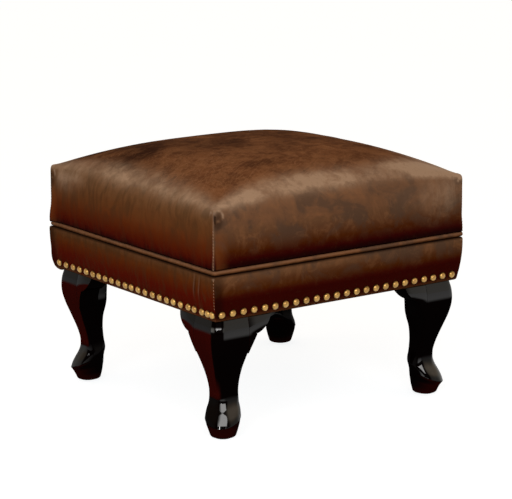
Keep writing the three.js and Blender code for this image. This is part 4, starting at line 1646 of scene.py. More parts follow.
@dataclass
class Welt:
    """A leather-covered cord between border and cushion."""

    sizes: SeatSizes
    finish: Material
    radius: float = 3.9 * MM
    edge_radius: float = 3.1 * MM
    drop: float = 0.2 * MM
    bend: float = 2.8 * MM
    run_steps: int = 120
    bend_steps: int = 12
    facets: int = 20
    ring_radius: float = 0.2
    swells: tuple[tuple[int, float, int, float], ...] = (
        (5, 23 * MM, 93, 0.045),
        (6, 7 * MM, 305, 0.03),
    )
    sway: float = 0.2 * MM
    sway_length: float = 61 * MM
    sway_count: int = 35

    def path(self, share: Array) -> tuple[Array, Array]:
        """Places along the cord's middle and the way out there, from shares of its length."""
        half = np.array([self.sizes.half_width, self.sizes.half_depth]) - self.edge_radius
        middles = np.array([(1, -1), (1, 1), (-1, 1), (-1, -1)]) * (half - self.bend)
        points = round_square(middles, [self.bend] * 4, self.bend_steps, self.run_steps - 1)
        ways = round_square(0 * middles, [1] * 4, self.bend_steps, self.run_steps - 1)
        index = np.rint(share * len(points)).astype(int) % len(points)
        return points[index], ways[index]

    def build(self) -> None:
        """Models the cord as a ring drawn out to the seat's plan, a little uneven."""
        count = 4 * (self.bend_steps + self.run_steps)
        cord = Bench.primitive(
            Primitive.TORUS,
            "leather_welt",
            major_segments=count,
            minor_segments=self.facets,
            major_radius=self.ring_radius,
            minor_radius=self.radius,
        )
        co = Bench.points(cord)
        around = np.arctan2(co[:, 1], co[:, 0]) % (2 * math.pi)
        place, way = self.path(around / (2 * math.pi))
        outward = np.hypot(co[:, 0], co[:, 1]) - self.ring_radius
        run = around / (2 * math.pi) * 8 * self.sizes.half_width
        swell = 1 + sum(
            share * Ripple(seed, length, knots).at(run) for seed, length, knots, share in self.swells
        )
        sway = self.sway * Ripple(7, self.sway_length, self.sway_count).at(run)
        flat = place + way * (outward * swell)[:, None]
        up = co[:, 2] * swell + sway + self.sizes.welt_height - self.drop
        Bench.move(cord, np.column_stack([flat, up]))
        Bench.smooth(cord, 180)
        dress(cord, self.finish, "welt_leather", "welt")


# Cushion

LEATHER_CLOTH: Mapping[str, float] = {
    "quality": 6,
    "mass": 0.4,
    "tension_stiffness": 30,
    "compression_stiffness": 30,
    "shear_stiffness": 12,
    "bending_stiffness": 4,
    "use_pressure": True,
    "uniform_pressure_force": 4,
}
CLOTH_FRAMES = 20
LEAST_WEIGHT = 0.02


@dataclass(frozen=True)
class SeamShape:
    """The leather's shape at a corner seam, by its distance from the seam's line and head."""

    shift: float = 0.5 * MM
    head_drop: float = 4.5 * MM
    reach: Slope = Slope(14 * MM, 6 * MM)
    foot: Slope = Slope(0, 3 * MM)
    end: Slope = Slope(5 * MM, -1 * MM)
    groove: Hump = Hump(0, 1.1 * MM)
    groove_head: Hump = Hump(-10 * MM, 10 * MM)
    fold: Hump = Hump(-2.0 * MM, 1.2 * MM)
    puff: Hump = Hump(4.5 * MM, 3 * MM)
    puff_height: Hump = Hump(-7 * MM, 8 * MM)
    head: Hump = Hump(0, 6.5 * MM)
    head_height: Hump = Hump(3.5 * MM, 2.6 * MM)
    pull_reach: float = 22 * MM
    pull_length: float = 7 * MM
    pull_start: float = 3.0
    run_start: float = 2.0
    gather_low: Slope = Slope(0, 5 * MM)
    gather_high: Slope = Slope(62 * MM, 12 * MM)
    gather_lengths: Pair = (9 * MM, 17 * MM)
    wave_low: Slope = Slope(10 * MM, 40 * MM)
    wave_high: Slope = Slope(115 * MM, 70 * MM)
    wave_length: float = 90 * MM
    wall: Slope = Slope(0.75, 0.35)
    full_flare: Slope = Slope(48 * MM, 3 * MM)
    flare: Slope = Slope(34 * MM, 4 * MM)
    flare_fade: float = 16 * MM
    slit: Hump = Hump(1.3 * MM, 1.3 * MM)


@dataclass(frozen=True)
class CushionMarks:
    """Where the cushion is painted pale, dark or reddish, by its distance from edges and seams: the
    pale band is wear and painted sheen, the seams' marks painted light and shade.

    A pair is a size at a corner and how much it grows towards mid-side.
    """

    blend: Slope = Slope(-14 * MM, 14 * MM)
    side_centre: Pair = (2 * MM, 14 * MM)
    front_centre: Pair = (7 * MM, 24 * MM)
    under: Pair = (14 * MM, 8 * MM)
    over: Pair = (13 * MM, 12 * MM)
    over_right: float = 24 * MM
    right: Slope = Slope(70 * MM, 235 * MM)
    left: Slope = Slope(-120 * MM, -225 * MM)
    haze: Hump = Hump(-30 * MM, 34 * MM)
    worn_along: Hump = Hump(205 * MM, 62 * MM)
    worn_across: Hump = Hump(-14 * MM, 22 * MM)
    head_drop: float = 5 * MM
    reach: Slope = Slope(30 * MM, 19 * MM)
    calm_centre: float = 3 * MM
    calm_across: Slope = Slope(22 * MM, 10 * MM)
    calm_down: Slope = Slope(-3 * MM, 4 * MM)
    ring: Oval = Oval(1.5 * MM, 11 * MM, 10.5 * MM, 11 * MM)
    ring_line: Hump = Hump(1, 0.13)
    arch_left: Slope = Slope(10 * MM, 5 * MM)
    arch_right: Slope = Slope(18 * MM, 10 * MM)
    lip: Hump = Hump(0, 4 * MM)
    lip_down: Hump = Hump(4 * MM, 3 * MM)
    thread: Hump = Hump(-1.5 * MM, 0.9 * MM)
    thread_down: Slope = Slope(4 * MM, 8 * MM)
    ruddy_start: Slope = Slope(0.5 * MM, 3 * MM)
    ruddy_end: Slope = Slope(24 * MM, 4 * MM)
    ruddy_down: Slope = Slope(30 * MM, 46 * MM)
    spot: Oval = Oval(5.5 * MM, 17 * MM, 2.4 * MM, 2.4 * MM)
    puff: Oval = Oval(5 * MM, 19 * MM, 7 * MM, 14 * MM)
    cut_start: Slope = Slope(5.5 * MM, 7.5 * MM)
    cut_end: Slope = Slope(27 * MM, 20 * MM)
    # Painted shadow along the cushion's foot, over the welt.
    joint: Slope = Slope(4 * MM, 0.5 * MM)


@dataclass
class Cushion:
    """The domed seat cushion: leather over wadding and foam, seamed at its corners."""

    sizes: SeatSizes
    finish: Material
    inset: float = 1.2 * MM
    wall: float = 104 * MM
    edge_arch: float = 15 * MM
    crown: float = 54 * MM
    crown_power: float = 3.3
    plan_corner: float = 2.5 * MM
    shoulder_corner: float = 3.5 * MM
    shoulder_middle: float = 47 * MM
    bulge: float = 3 * MM
    slack: float = 2.2 * MM
    cap: float = 2.8 * MM
    cells: int = 84
    rows: int = 18
    edge_share: float = 0.27
    crowding: float = 0.6
    right_lift: float = 2.6 * MM
    right_slope: Slope = Slope(0.0, 0.85)
    corner_lift: float = 3.6 * MM
    corner_reach: float = 90 * MM
    least_radius: float = 0.3 * MM
    wall_samples: int = 16
    shoulder_samples: int = 20
    top_samples: int = 30
    foot_height: float = 8 * MM
    seam_width: float = 6 * MM
    seam_reach: Slope = Slope(14 * MM, 5 * MM)
    seam_head: Pair = (14 * MM, 2 * MM)
    creep: float = 0.2 * MM
    seam: SeamShape = SeamShape()
    marks: CushionMarks = CushionMarks()

    @property
    def half(self) -> Array:
        """Half the cushion's width and depth, at its foot."""
        return np.array([self.sizes.half_width, self.sizes.half_depth]) - self.inset

    def rise(self, x: Array, y: Array) -> Array:
        """How far the top stands over a corner, at shares of the half width and depth."""
        bow_x = 1 - np.power(np.clip(np.abs(x), 0, 1), self.crown_power)
        bow_y = 1 - np.power(np.clip(np.abs(y), 0, 1), self.crown_power)
        return self.edge_arch * (bow_x + bow_y) + (self.crown - 2 * self.edge_arch) * bow_x * bow_y

    def plan(self, u: Array, v: Array, offset: float) -> tuple[Array, Array, Array]:
        """Points of the plan's edge.

        Args:
            u: Where the point is on the edge of a square, left to right.
            v: And front to back.
            offset: How far the form stands in.

        Returns:
            The places, the ways out, and how near to mid-side each is.
        """
        half = self.half - offset
        bend = max(self.plan_corner - offset, self.least_radius)
        on_x = np.abs(u) >= np.abs(v)
        run = np.where(on_x, v, u)
        straight = np.where(on_x, half[1], half[0]) - bend
        arc = bend * math.pi / 4
        far = np.abs(run) * (straight + arc)
        angle = np.clip((far - straight) / bend, 0, math.pi / 4)
        sideways = np.minimum(far, straight) + bend * np.sin(angle)
        outward = np.where(on_x, half[0], half[1]) - bend + bend * np.cos(angle)
        sideways = np.sign(run) * sideways
        sign = np.where(on_x, np.sign(u), np.sign(v))
        x = np.where(on_x, sign * outward, sideways)
        y = np.where(on_x, sideways, sign * outward)
        way_out, way_side = np.cos(angle), np.sin(angle) * np.sign(run)
        way = np.column_stack(
            [np.where(on_x, sign * way_out, way_side), np.where(on_x, way_side, sign * way_out)]
        )
        middle = 1 - np.clip(far / (straight + arc), 0, 1) ** 2
        return np.column_stack([x, y]), way, middle

    def form(self, co: Array, offset: float) -> Array:
        """Bends the points of a gridded box to the cushion's form.

        Args:
            co: The box's points, from -1 to 1 on each axis.
            offset: How far the form stands in from the finished leather.

        Returns:
            The places on the form.
        """
        u, v, w = crowd(co[:, 0], self.crowding), crowd(co[:, 1], self.crowding), co[:, 2]
        reach = np.maximum(np.maximum(np.abs(u), np.abs(v)), 1e-9)
        edge, way, middle = self.plan(u / reach, v / reach, offset)
        half = self.half - offset
        least = half.min()
        radius = self.shoulder_corner + (self.shoulder_middle - self.shoulder_corner) * middle
        shoulder = np.maximum(radius - offset, self.least_radius)
        bottom = self.sizes.cover_bottom
        corner = self.sizes.welt_height + self.wall - offset

        def top(spot: Array) -> Array:
            """The height of the top at places in the plan."""
            x, y = spot[..., 0], spot[..., 1]
            full = np.exp(-((np.hypot(x + half[0], y - half[1]) / self.corner_reach) ** 2))
            lift = self.right_lift * self.right_slope.at(x / half[0]) + self.corner_lift * full
            return corner + lift + self.rise(x / half[0], y / half[1])

        samples = []
        for share in np.linspace(0, 1, self.wall_samples):
            high = top(edge) - shoulder
            swell = self.bulge * math.sin(math.pi * share) * middle
            spot = edge + way * swell[:, None]
            samples.append(np.column_stack([spot, bottom + (high - bottom) * share]))
        for angle in np.linspace(0, math.pi / 2, self.shoulder_samples)[1:]:
            inward = 1 - shoulder * (1 - math.cos(angle)) / least
            spot = edge * inward[:, None]
            samples.append(np.column_stack([spot, top(spot) - shoulder * (1 - math.sin(angle))]))
        for share in np.linspace(0, 1, self.top_samples)[1:]:
            spot = edge * ((1 - shoulder / least) * (1 - share))[:, None]
            samples.append(np.column_stack([spot, top(spot)]))
        way_up = np.array(samples)
        steps = np.linalg.norm(np.diff(way_up, axis=0), axis=2)
        run = np.vstack([np.zeros(len(co)), np.cumsum(steps, axis=0)])
        on_top = w > 1 - 1e-6
        inner = self.edge_share + (1 - reach) * (1 - self.edge_share)
        target = np.where(on_top, inner, (w + 1) / 2 * self.edge_share) * run[-1]
        index = np.clip((run < target).sum(axis=0) - 1, 0, len(steps) - 1)
        column = np.arange(len(co))
        start, step = run[index, column], steps[index, column]
        share = ((target - start) / np.maximum(step, 1e-12))[:, None]
        place = way_up[index, column] * (1 - share) + way_up[index + 1, column] * share
        under = (w < -1 + 1e-6) & (reach < 1 - 1e-6)
        flat = np.column_stack([edge * reach[:, None], np.full(len(co), bottom)])
        return np.where(under[:, None], flat, place)

    def blank(self, offset: float) -> Piece:
        """Models a gridded box and bends it to the cushion's form.

        Args:
            offset: How far it stands in from the finished leather.

        Returns:
            The piece.
        """
        pad = Bench.primitive(Primitive.CUBE, "leather_cushion", size=2)
        with Bench.editing(pad):
            for axis, cells in ((2, self.rows), (0, self.cells), (1, self.cells)):
                Bench.pick_edges(lambda a, b, k=axis: abs(a[k] - b[k]) > 1.9)
                bpy.ops.mesh.subdivide(number_cuts=cells - 1)
        box = Bench.points(pad)
        full = self.form(box, 0.0)
        if offset > 0:
            held = self.held(full)[:, None]
            full = self.form(box, offset) * (1 - held) + full * held
        Bench.move(pad, full)
        return pad

    def held(self, co: Array) -> Array:
        """How firmly the corner seams and the foot hold each point, from 0 to 1."""
        aside, inward, rise = self.seam_distance(co)
        over, under = self.seam_head
        top = smoothstep(self.wall + over, self.wall - under, rise)
        seam = Hump(0, self.seam_width).at(aside) * self.seam_reach.at(inward) * (0.4 + 0.6 * top)
        foot = 1 - smoothstep(0, self.foot_height, rise)
        return np.clip(np.maximum(seam, foot), 0, 1)

    def seam_distance(self, co: Array) -> tuple[Array, Array, Array]:
        """Where points are about the nearest corner seam.

        Args:
            co: The points.

        Returns:
            The distance sideways (positive to the right, seen from outside), the distance in
            from the corner, and the height over the cover's foot.
        """
        sign = np.where(co[:, :2] < 0, -1.0, 1.0)
        corner = sign * self.half
        way = sign / math.sqrt(2)
        side = np.column_stack([-way[:, 1], way[:, 0]])
        gap = co[:, :2] - corner
        return (gap * side).sum(1), -(gap * way).sum(1), co[:, 2] - self.sizes.cover_bottom

    def inflate(self, pad: Piece) -> None:
        """Blows the leather up against its seams with cloth simulation.

        Args:
            pad: The cushion, a little smaller than it will be.
        """
        before = Bench.points(pad)
        held = self.held(before)
        group = pad.vertex_groups.new(name="held")
        for index, weight in enumerate(held):
            if weight > LEAST_WEIGHT:
                group.add([index], float(weight), "REPLACE")
        Bench.only(pad)
        cloth = pad.modifiers.new("cloth", "CLOTH")
        for name, setting in LEATHER_CLOTH.items():
            setattr(cloth.settings, name, setting)
        cloth.settings.vertex_group_mass = group.name
        cloth.settings.effector_weights.gravity = 0
        cloth.collision_settings.use_collision = False
        scene = bpy.context.scene
        for number in range(1, CLOTH_FRAMES + 1):
            scene.frame_set(number)
        bpy.ops.object.modifier_apply(modifier=cloth.name)
        scene.frame_set(1)
        shift = Bench.points(pad) - before
        length = np.maximum(np.linalg.norm(shift, axis=1), 1e-9)
        cap = self.cap * (1 - held) + self.creep
        limit = cap * np.tanh(length / cap) / length
        Bench.move(pad, before + shift * limit[:, None])
        log.info("cushion swelled by %.1f mm at most", 1000 * (length * limit).max())
        pad.vertex_groups.clear()

    def sew(self, pad: Piece) -> None:
        """Draws in the corner seams, with the fold at their head and the pull beside them.

        Args:
            pad: The blown-up cushion.
        """
        seam = self.seam
        co = Bench.points(pad)
        out = Bench.normals(pad)
        aside, inward, rise = self.seam_distance(co)
        near = seam.reach.at(inward)
        over = rise - (self.wall - seam.head_drop)
        along = seam.foot.at(rise) * seam.end.at(over)
        line = aside - seam.shift
        groove = seam.groove.at(line) * (0.9 + 1.5 * seam.groove_head.at(over))
        puff = seam.puff.at(line) * seam.puff_height.at(over)
        head = seam.head.at(aside) * seam.head_height.at(over)
        pull = Ripple(31, seam.pull_length).at(rise + 0.25 * np.abs(line) + seam.pull_start)
        pull *= np.exp(-np.abs(line) / seam.pull_reach)
        sewn = -groove + 0.55 * seam.fold.at(line) + 0.9 * puff + 0.22 * pull
        lift = near * (along * sewn + 0.5 * head)

        run = np.where(np.abs(co[:, 0]) > np.abs(co[:, 1]), co[:, 1], co[:, 0]) + seam.run_start
        fine, broad = seam.gather_lengths
        gathers = 0.6 * Ripple(41, fine).at(run) + 0.4 * Ripple(42, broad).at(run + 0.1 * rise)
        gathers *= seam.gather_low.at(rise) * seam.gather_high.at(rise)
        waves = Ripple(43, seam.wave_length).at(run) * seam.wave_low.at(rise) * seam.wave_high.at(rise)
        wall = seam.wall.at(np.abs(out[:, 2]))
        lift += wall * (0.16 * gathers + 0.5 * waves)
        back_left = (co[:, 0] < 0) & (co[:, 1] > 0)
        flare = np.where(back_left, 4.9 * seam.full_flare.at(rise), 1.4 * seam.flare.at(rise))
        lift += flare * np.exp(-inward / seam.flare_fade) * wall
        Bench.move(pad, co + out * (lift * MM)[:, None])
        across, rub = self.rubbed_band(co)
        Bench.paint(pad, "across", across)
        self.mark_corners(pad, co, rub, near * seam.slit.at(line))

    def rubbed_band(self, co: Array) -> tuple[Array, Array]:
        """Where the leather is painted pale along the cushion's edges, as wear and painted sheen.

        Args:
            co: The cushion's points before the sewing.

        Returns:
            How far in from the edge each point is, and how pale it is painted.
        """
        marks = self.marks
        x, y = co[:, 0], co[:, 1]
        gap = np.clip(self.half - np.abs(co[:, :2]), 0, None)
        run = np.clip(np.min(np.abs(co[:, :2]) / self.half, axis=1), 0, 1)
        middle = 1 - run**2
        edge = self.sizes.welt_height + self.wall + self.edge_arch * (1 - run**self.crown_power)
        across = gap.min(axis=1) - np.clip(edge - co[:, 2], 0, None)
        beside = gap[:, 0] < gap[:, 1]
        turn = marks.blend.at(gap[:, 1] - gap[:, 0])
        right = marks.right.at(x)
        centres = [base + more * middle for base, more in (marks.side_centre, marks.front_centre)]
        centre = centres[0] * turn + centres[1] * (1 - turn)
        under, over = (base + more * middle for base, more in (marks.under, marks.over))
        width = np.where(across < centre, under, over + marks.over_right * right)
        # The pale band: wear with painted sheen along the shoulder, and a painted haze towards the
        # right.
        plain = turn * (x < 0)
        peak = 0.72 * plain + (0.98 + 0.55 * marks.left.at(x) + 0.34 * right) * (1 - plain)
        rub = peak * np.exp(-(((across - centre) / width) ** 2))
        rub = np.maximum(rub, 0.36 * right * marks.haze.at(across) * ~beside)
        # A pale patch towards the back of the left side: wear and painted sheen.
        worn = marks.worn_along.at(y) * (x < 0) * beside
        return across, np.maximum(rub, 0.62 * worn * marks.worn_across.at(across))

    def mark_corners(self, pad: Piece, co: Array, rub: Array, slit: Array) -> None:
        """Paints the marks at the head of each corner seam: painted shadow in the sewn cut, painted
        shade and a highlight on its puff, the pale ring, highlights on the lip and the sewn line, and
        light on the bulge beside it.

        Args:
            pad: The sewn cushion.
            co: Its points before the sewing.
            rub: How pale the leather is painted there, as wear and painted sheen.
            slit: How near each point is to the dark slit beside a seam.
        """
        marks = self.marks
        aside, inward, rise = self.seam_distance(co)
        near = self.seam.reach.at(inward)
        line = aside - self.seam.shift
        low = self.wall - marks.head_drop - rise
        wide = marks.reach.at(inward)
        calm = marks.calm_across.at(np.abs(line - marks.calm_centre)) * marks.calm_down.at(low)
        rub = rub * (1 - 0.50 * wide * calm)
        arch = np.where(line < marks.ring.across, marks.arch_left.at(low), marks.arch_right.at(low))
        ring = marks.ring_line.at(marks.ring.far(line, low)) * arch
        rub = np.maximum(rub, 1.35 * wide * ring)
        # Painted highlights on the lip at the seam's head and along the sewn line.
        rub = np.maximum(rub, 0.95 * near * marks.lip.at(line) * marks.lip_down.at(low))
        rub = np.maximum(rub, 0.36 * near * marks.thread.at(line) * marks.thread_down.at(low))
        # Painted light on the bulge beside the seam, right of the sewn line.
        ruddy = marks.ruddy_start.at(line) * marks.ruddy_end.at(line) * marks.ruddy_down.at(low)
        # Painted shade on the puff beside the seam, with a painted highlight spot on it; painted shadow
        # in the slit and along the cushion's foot.
        light = np.exp(-(marks.spot.far(line, low) ** 2))
        shade = wide * np.exp(-(marks.puff.far(line, low) ** 4)) * (line > 0)
        cut = slit * marks.cut_start.at(low) * marks.cut_end.at(low)
        dark = np.maximum(0.52 * shade * (1 - light), 0.97 * cut)
        dark = np.maximum(dark, 0.85 * marks.joint.at(rise))
        rub = rub * (1 - 0.70 * shade) + 0.16 * shade * light
        Bench.paint(pad, "ruddy", 0.36 * wide * ruddy)
        Bench.paint(pad, "rub", np.clip(rub, 0, 1.5))
        Bench.paint(pad, "dark", np.clip(dark, 0, 1))

    def build(self) -> Piece:
        """Models the cushion.

        Returns:
            The cushion.
        """
        slack = self.slack
        pad = self.blank(slack)
        if slack:
            self.inflate(pad)
        Bench.subdivide(pad)
        self.sew(pad)
        Bench.smooth(pad, 180)
        dress(pad, self.finish, "seat_leather", "seat_cover", "seat_wadding", "foam_block")
        return pad


@dataclass
class CornerSeams:
    """Rows of stitches down the corner seams of cushion and border."""

    sizes: SeatSizes
    finish: Material
    pitch: float = 5.2 * MM
    length: float = 3.0 * MM
    width: float = 1.5 * MM
    beside: float = 1.4 * MM
    sunk: float = 0.25 * MM
    tilt_degrees: float = 14
    ray_start: float = 50 * MM
    cushion_span: Pair = (3 * MM, 66 * MM)
    border_gaps: Pair = (24 * MM, 7 * MM)

    def build_stitch(self) -> Piece:
        """Models one stitch: a small ball drawn out along Z."""
        stitch = Bench.primitive(
            Primitive.BALL, "stitch_pattern", segments=8, ring_count=6, radius=1
        )
        co = Bench.points(stitch) * np.array([self.width / 2, self.width / 2, self.length / 2])
        Bench.move(stitch, co)
        Bench.smooth(stitch, 180)
        return stitch

    def row(
        self, stitch: Piece, name: str, surface: Piece, corner: Corner, low: float, high: float
    ) -> None:
        """Sews a row of stitches where rays from outside meet a surface.

        Args:
            stitch: The stitch to copy.
            name: The row's name.
            surface: The leather that is sewn.
            corner: Which corner.
            low: The height of the first stitch.
            high: The height of the last.
        """
        x, y = corner.signs
        way = Vector((x, y, 0)).normalized()
        aside = Vector((-way.y, way.x, 0))
        edge = Vector((x * self.sizes.half_width, y * self.sizes.half_depth, 0))
        tilt = Quaternion(way, math.radians(self.tilt_degrees)).to_matrix().to_4x4()
        row = []
        for number in range(int((high - low) / self.pitch) + 1):
            start = edge + way * self.ray_start - aside * self.beside
            start.z = low + number * self.pitch
            hit, spot, _, _ = surface.ray_cast(start, -way)
            if hit:
                stand = Matrix.Translation(spot - way * self.sunk)
                row.append(Bench.copy(stitch, "stitch", stand @ tilt))
        dress(Bench.join(row, name), self.finish, "seat_leather")

    def build(self, cushion: Piece) -> None:
        """Sews the four corners of the cushion and of the border.

        Args:
            cushion: The finished cushion.
        """
        panels = (Side.LEFT, Side.FRONT, Side.BACK, Side.RIGHT)
        stitch = self.build_stitch()
        bpy.context.view_layer.update()
        foot, bottom, top = self.sizes.cover_bottom, self.sizes.border_bottom, self.sizes.border_top
        low, high = (foot + gap for gap in self.cushion_span)
        for corner in Corner:
            self.row(stitch, f"cushion_stitches_{corner.label}", cushion, corner, low, high)
        low, high = bottom + self.border_gaps[0], top - self.border_gaps[1]
        for corner, side in zip(Corner, panels):
            panel = bpy.data.objects[f"leather_border_{side.label}"]
            self.row(stitch, f"border_stitches_{corner.label}", panel, corner, low, high)
        Bench.drop(stitch)


# What lies hidden


@dataclass
class HiddenCloths:
    """The hessian over the straps and the dust cover under the frame."""

    hessian: Material
    black: Material
    cells: int = 72
    thickness: float = 0.8 * MM
    sag: float = 2.2 * MM
    pucker: float = 0.5 * MM
    pucker_length: float = 110 * MM

    def hang(self, x: Array, y: Array) -> Array:
        """How the dust cover hangs and puckers at its tacked edges, at shares from -1 to 1."""
        edge = np.maximum(np.abs(x), np.abs(y))
        run = np.where(np.abs(x) > np.abs(y), y, x) + 3
        puckers = np.abs(Ripple(71, self.pucker_length).at(run))
        return -self.sag * (1 - x**2) * (1 - y**2) - self.pucker * puckers * edge**4 * (1 - edge)

    def cloth(
        self,
        name: str,
        node: str,
        finish: Material,
        slot: str,
        drop: Callable[[Array, Array], Array],
    ) -> None:
        """Models a stretched cloth in the space of a node.

        Args:
            name: The piece's name.
            node: The node that it stands for.
            finish: Its material.
            slot: The record's material slot.
            drop: How far it stands from its plane, at shares from -1 to 1 across and along.
        """
        low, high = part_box(node)
        cloth = Bench.primitive(
            Primitive.GRID, name, x_subdivisions=self.cells, y_subdivisions=self.cells, size=2
        )
        co = Bench.points(cloth)
        place = np.column_stack(
            [
                (low.x + high.x) / 2 + co[:, 0] * (high.x - low.x) / 2,
                (low.y + high.y) / 2 + co[:, 1] * (high.y - low.y) / 2,
                np.full(len(co), high.z) + drop(co[:, 0], co[:, 1]),
            ]
        )
        Bench.move(cloth, place)
        Bench.modifier(cloth, "SOLIDIFY", thickness=self.thickness, offset=-1)
        Bench.smooth(cloth, 50)
        dress(cloth, finish, slot, node)

    def build(self) -> None:
        """Models the cloths."""
        self.cloth("black_dust_cover", "dust_cover", self.black, "black_cloth", self.hang)
        self.cloth("hessian_sheet", "hessian", self.hessian, "jute", lambda x, y: 0 * x)


def dress_hidden_frame(finishes: Mapping[str, Material]) -> None:
    """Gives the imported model's own frame and fittings their materials.

    Args:
        finishes: A material for each start of a node's name.
    """
    for name, node in frame["nodes"].items():
        for start, material in finishes.items():
            if name.startswith(start):
                node.data.materials.clear()
                node.data.materials.append(material)


# Studio


@dataclass
class Studio:
    """The camera, the pale floor and the lights."""

    azimuth: float = -35.4
    elevation: float = 12.14
    roll: float = -0.4
    distance: float = 3.3956
    target: Place = (6.07 * MM, 0.0, 252.3 * MM)
    lens: float = 132.36
    behind_camera: Colour = (0.02, 0.02, 0.02)
    side_light: Colour = (0.95, 0.91, 0.82)
    back_light: Colour = (1.0, 0.82, 0.62)
    sensor: float = 36.0
    floor_size: float = 80.0
    floor_plain: Colour = (0.30, 0.29, 0.28)
    floor_pale: Colour = (0.31, 0.32, 0.34)
    floor_glow: Colour = (0.975, 0.99, 1.0)
    glow_strength: float = 0.85
    aim: Place = (0.0, 0.0, 0.2)
    key_place: Place = (-1.45, -1.8, 1.25)
    key_size: Pair = (2.8, 1.1)
    key_watts: float = 50.0
    key_light: Colour = (1.0, 0.98, 0.96)
    spark_place: Place = (-2.37, -1.68, 0.78)
    spark_size: Pair = (0.10, 0.10)
    spark_watts: float = 1.2

    def camera(self) -> None:
        """Sets the camera at the photograph's angle."""
        a, e = math.radians(self.azimuth), math.radians(self.elevation)
        back = Vector((math.sin(a) * math.cos(e), -math.cos(a) * math.cos(e), math.sin(e)))
        data = bpy.data.cameras.new("camera")
        data.lens = self.lens
        data.sensor_width = self.sensor
        data.clip_end = 2 * self.floor_size
        eye = bpy.data.objects.new("camera", data)
        eye.location = Vector(self.target) + back * self.distance
        turn = back.to_track_quat("Z", "Y") @ Quaternion((0, 0, 1), math.radians(self.roll))
        eye.rotation_euler = turn.to_euler()
        bpy.context.scene.collection.objects.link(eye)
        bpy.context.scene.camera = eye

    def floor(self) -> None:
        """Lays a pale floor that shows white and keeps the stool's shadow."""
        Bench.clear()
        bpy.ops.mesh.primitive_plane_add(size=self.floor_size)
        floor = bpy.context.active_object
        floor.name = "floor"
        p = Paint("pale_floor")
        path = p.node("ShaderNodeLightPath")
        seen = Value(p, path.outputs["Is Camera Ray"])
        for ray in ("Is Glossy Ray", "Is Transmission Ray"):
            seen = seen.maths("MAXIMUM", Value(p, path.outputs[ray]))
        plain, pale = (
            p.node("ShaderNodeBsdfDiffuse", sockets={"Color": (*colour, 1)}).outputs[0]
            for colour in (self.floor_plain, self.floor_pale)
        )
        light = {"Color": (*self.floor_glow, 1), "Strength": self.glow_strength}
        glow = p.node("ShaderNodeEmission", sockets=light)
        both = p.node("ShaderNodeAddShader", sockets={0: pale, 1: glow.outputs[0]})
        mixed = p.node("ShaderNodeMixShader", sockets={0: seen, 1: plain, 2: both.outputs[0]})
        p.node("ShaderNodeOutputMaterial", sockets={"Surface": mixed.outputs[0]})
        floor.data.materials.append(p.material)

    def lamp(self, name: str, place: Place, size: Pair, watts: float, colour: Colour) -> None:
        """Hangs a softbox that points at the stool.

        Args:
            name: Its name.
            place: Where it hangs.
            size: Its width and height.
            watts: Its power.
            colour: Its colour.
        """
        data = bpy.data.lights.new(name, "AREA")
        data.shape = "RECTANGLE"
        data.size, data.size_y = size
        data.energy = watts
        data.color = colour
        lamp = bpy.data.objects.new(name, data)
        lamp.location = place
        lamp.rotation_euler = (Vector(place) - Vector(self.aim)).to_track_quat("Z", "Y").to_euler()
        bpy.context.scene.collection.objects.link(lamp)

    def world(self) -> None:
        """Lights the room: dark behind the camera, pale at the sides and warm towards the back."""
        world = bpy.data.worlds.new("studio")
        bpy.context.scene.world = world
        n = Nodes(world, "Generated")
        x, y, z = (n.axis(name) for name in "XYZ")
        away = x * 0.58 + y * 0.815
        wall = away.span(-0.75, -0.42) * z.span(0.55, 0.95, 1.0, 0.35)
        pale = n.mix(z.span(0.12, 0.35), self.side_light, self.back_light)
        colour = n.mix(wall, self.behind_camera, pale)
        sky = n.node("ShaderNodeBackground", sockets={"Color": colour})
        n.node("ShaderNodeOutputWorld", sockets={"Surface": sky.outputs[0]})

    def build(self) -> None:
        """Sets up the studio."""
        scene = bpy.context.scene
        scene.view_settings.view_transform = "Standard"
        self.camera()
        self.floor()
        self.world()
        self.lamp("key", self.key_place, self.key_size, self.key_watts, self.key_light)
        self.lamp("spark", self.spark_place, self.spark_size, self.spark_watts, (1, 1, 1))


# Colours of the walls by height, with light painted in: darker low down, where less light reaches,
# lighter towards the top, and the sides and the fronts each given their own light.
SEAT_SIDES: Ramp = (
    (0.00, (0.0135, 0.0005, 0.0003)),
    (0.07, (0.0369, 0.0019, 0.0005)),
    (0.12, (0.0576, 0.0036, 0.0005)),
    (0.22, (0.0760, 0.0078, 0.0009)),
    (0.41, (0.0960, 0.0185, 0.0033)),
    (0.52, (0.1090, 0.0285, 0.0072)),
    (0.63, (0.1120, 0.0365, 0.0105)),
    (0.74, (0.1143, 0.0414, 0.0135)),
    (0.85, (0.1260, 0.0522, 0.0193)),
    (1.00, (0.1368, 0.0630, 0.0270)),
)
SEAT_FRONTS: Ramp = (
    (0.00, (0.0072, 0.0003, 0.0003)),
    (0.07, (0.0121, 0.0004, 0.0004)),
    (0.15, (0.0297, 0.0009, 0.0004)),
    (0.22, (0.0396, 0.0045, 0.0005)),
    (0.30, (0.0558, 0.0117, 0.0014)),
    (0.41, (0.0747, 0.0252, 0.0088)),
    (0.52, (0.0900, 0.0378, 0.0171)),
    (0.63, (0.1080, 0.0495, 0.0234)),
    (0.74, (0.1242, 0.0576, 0.0288)),
    (1.00, (0.1350, 0.0648, 0.0333)),
)
BORDER_SIDES: Ramp = (
    (0.00, (0.0990, 0.0378, 0.0162)),
    (0.05, (0.0810, 0.0234, 0.0081)),
    (0.11, (0.0558, 0.0036, 0.0005)),
    (0.42, (0.0760, 0.0044, 0.0005)),
    (0.60, (0.0860, 0.0118, 0.0013)),
    (0.69, (0.0930, 0.0170, 0.0021)),
    (0.757, (0.0990, 0.0235, 0.0042)),
    (0.824, (0.0927, 0.0266, 0.0059)),
    (0.87, (0.0990, 0.0351, 0.0110)),
    (0.95, (0.0972, 0.0396, 0.0158)),
)
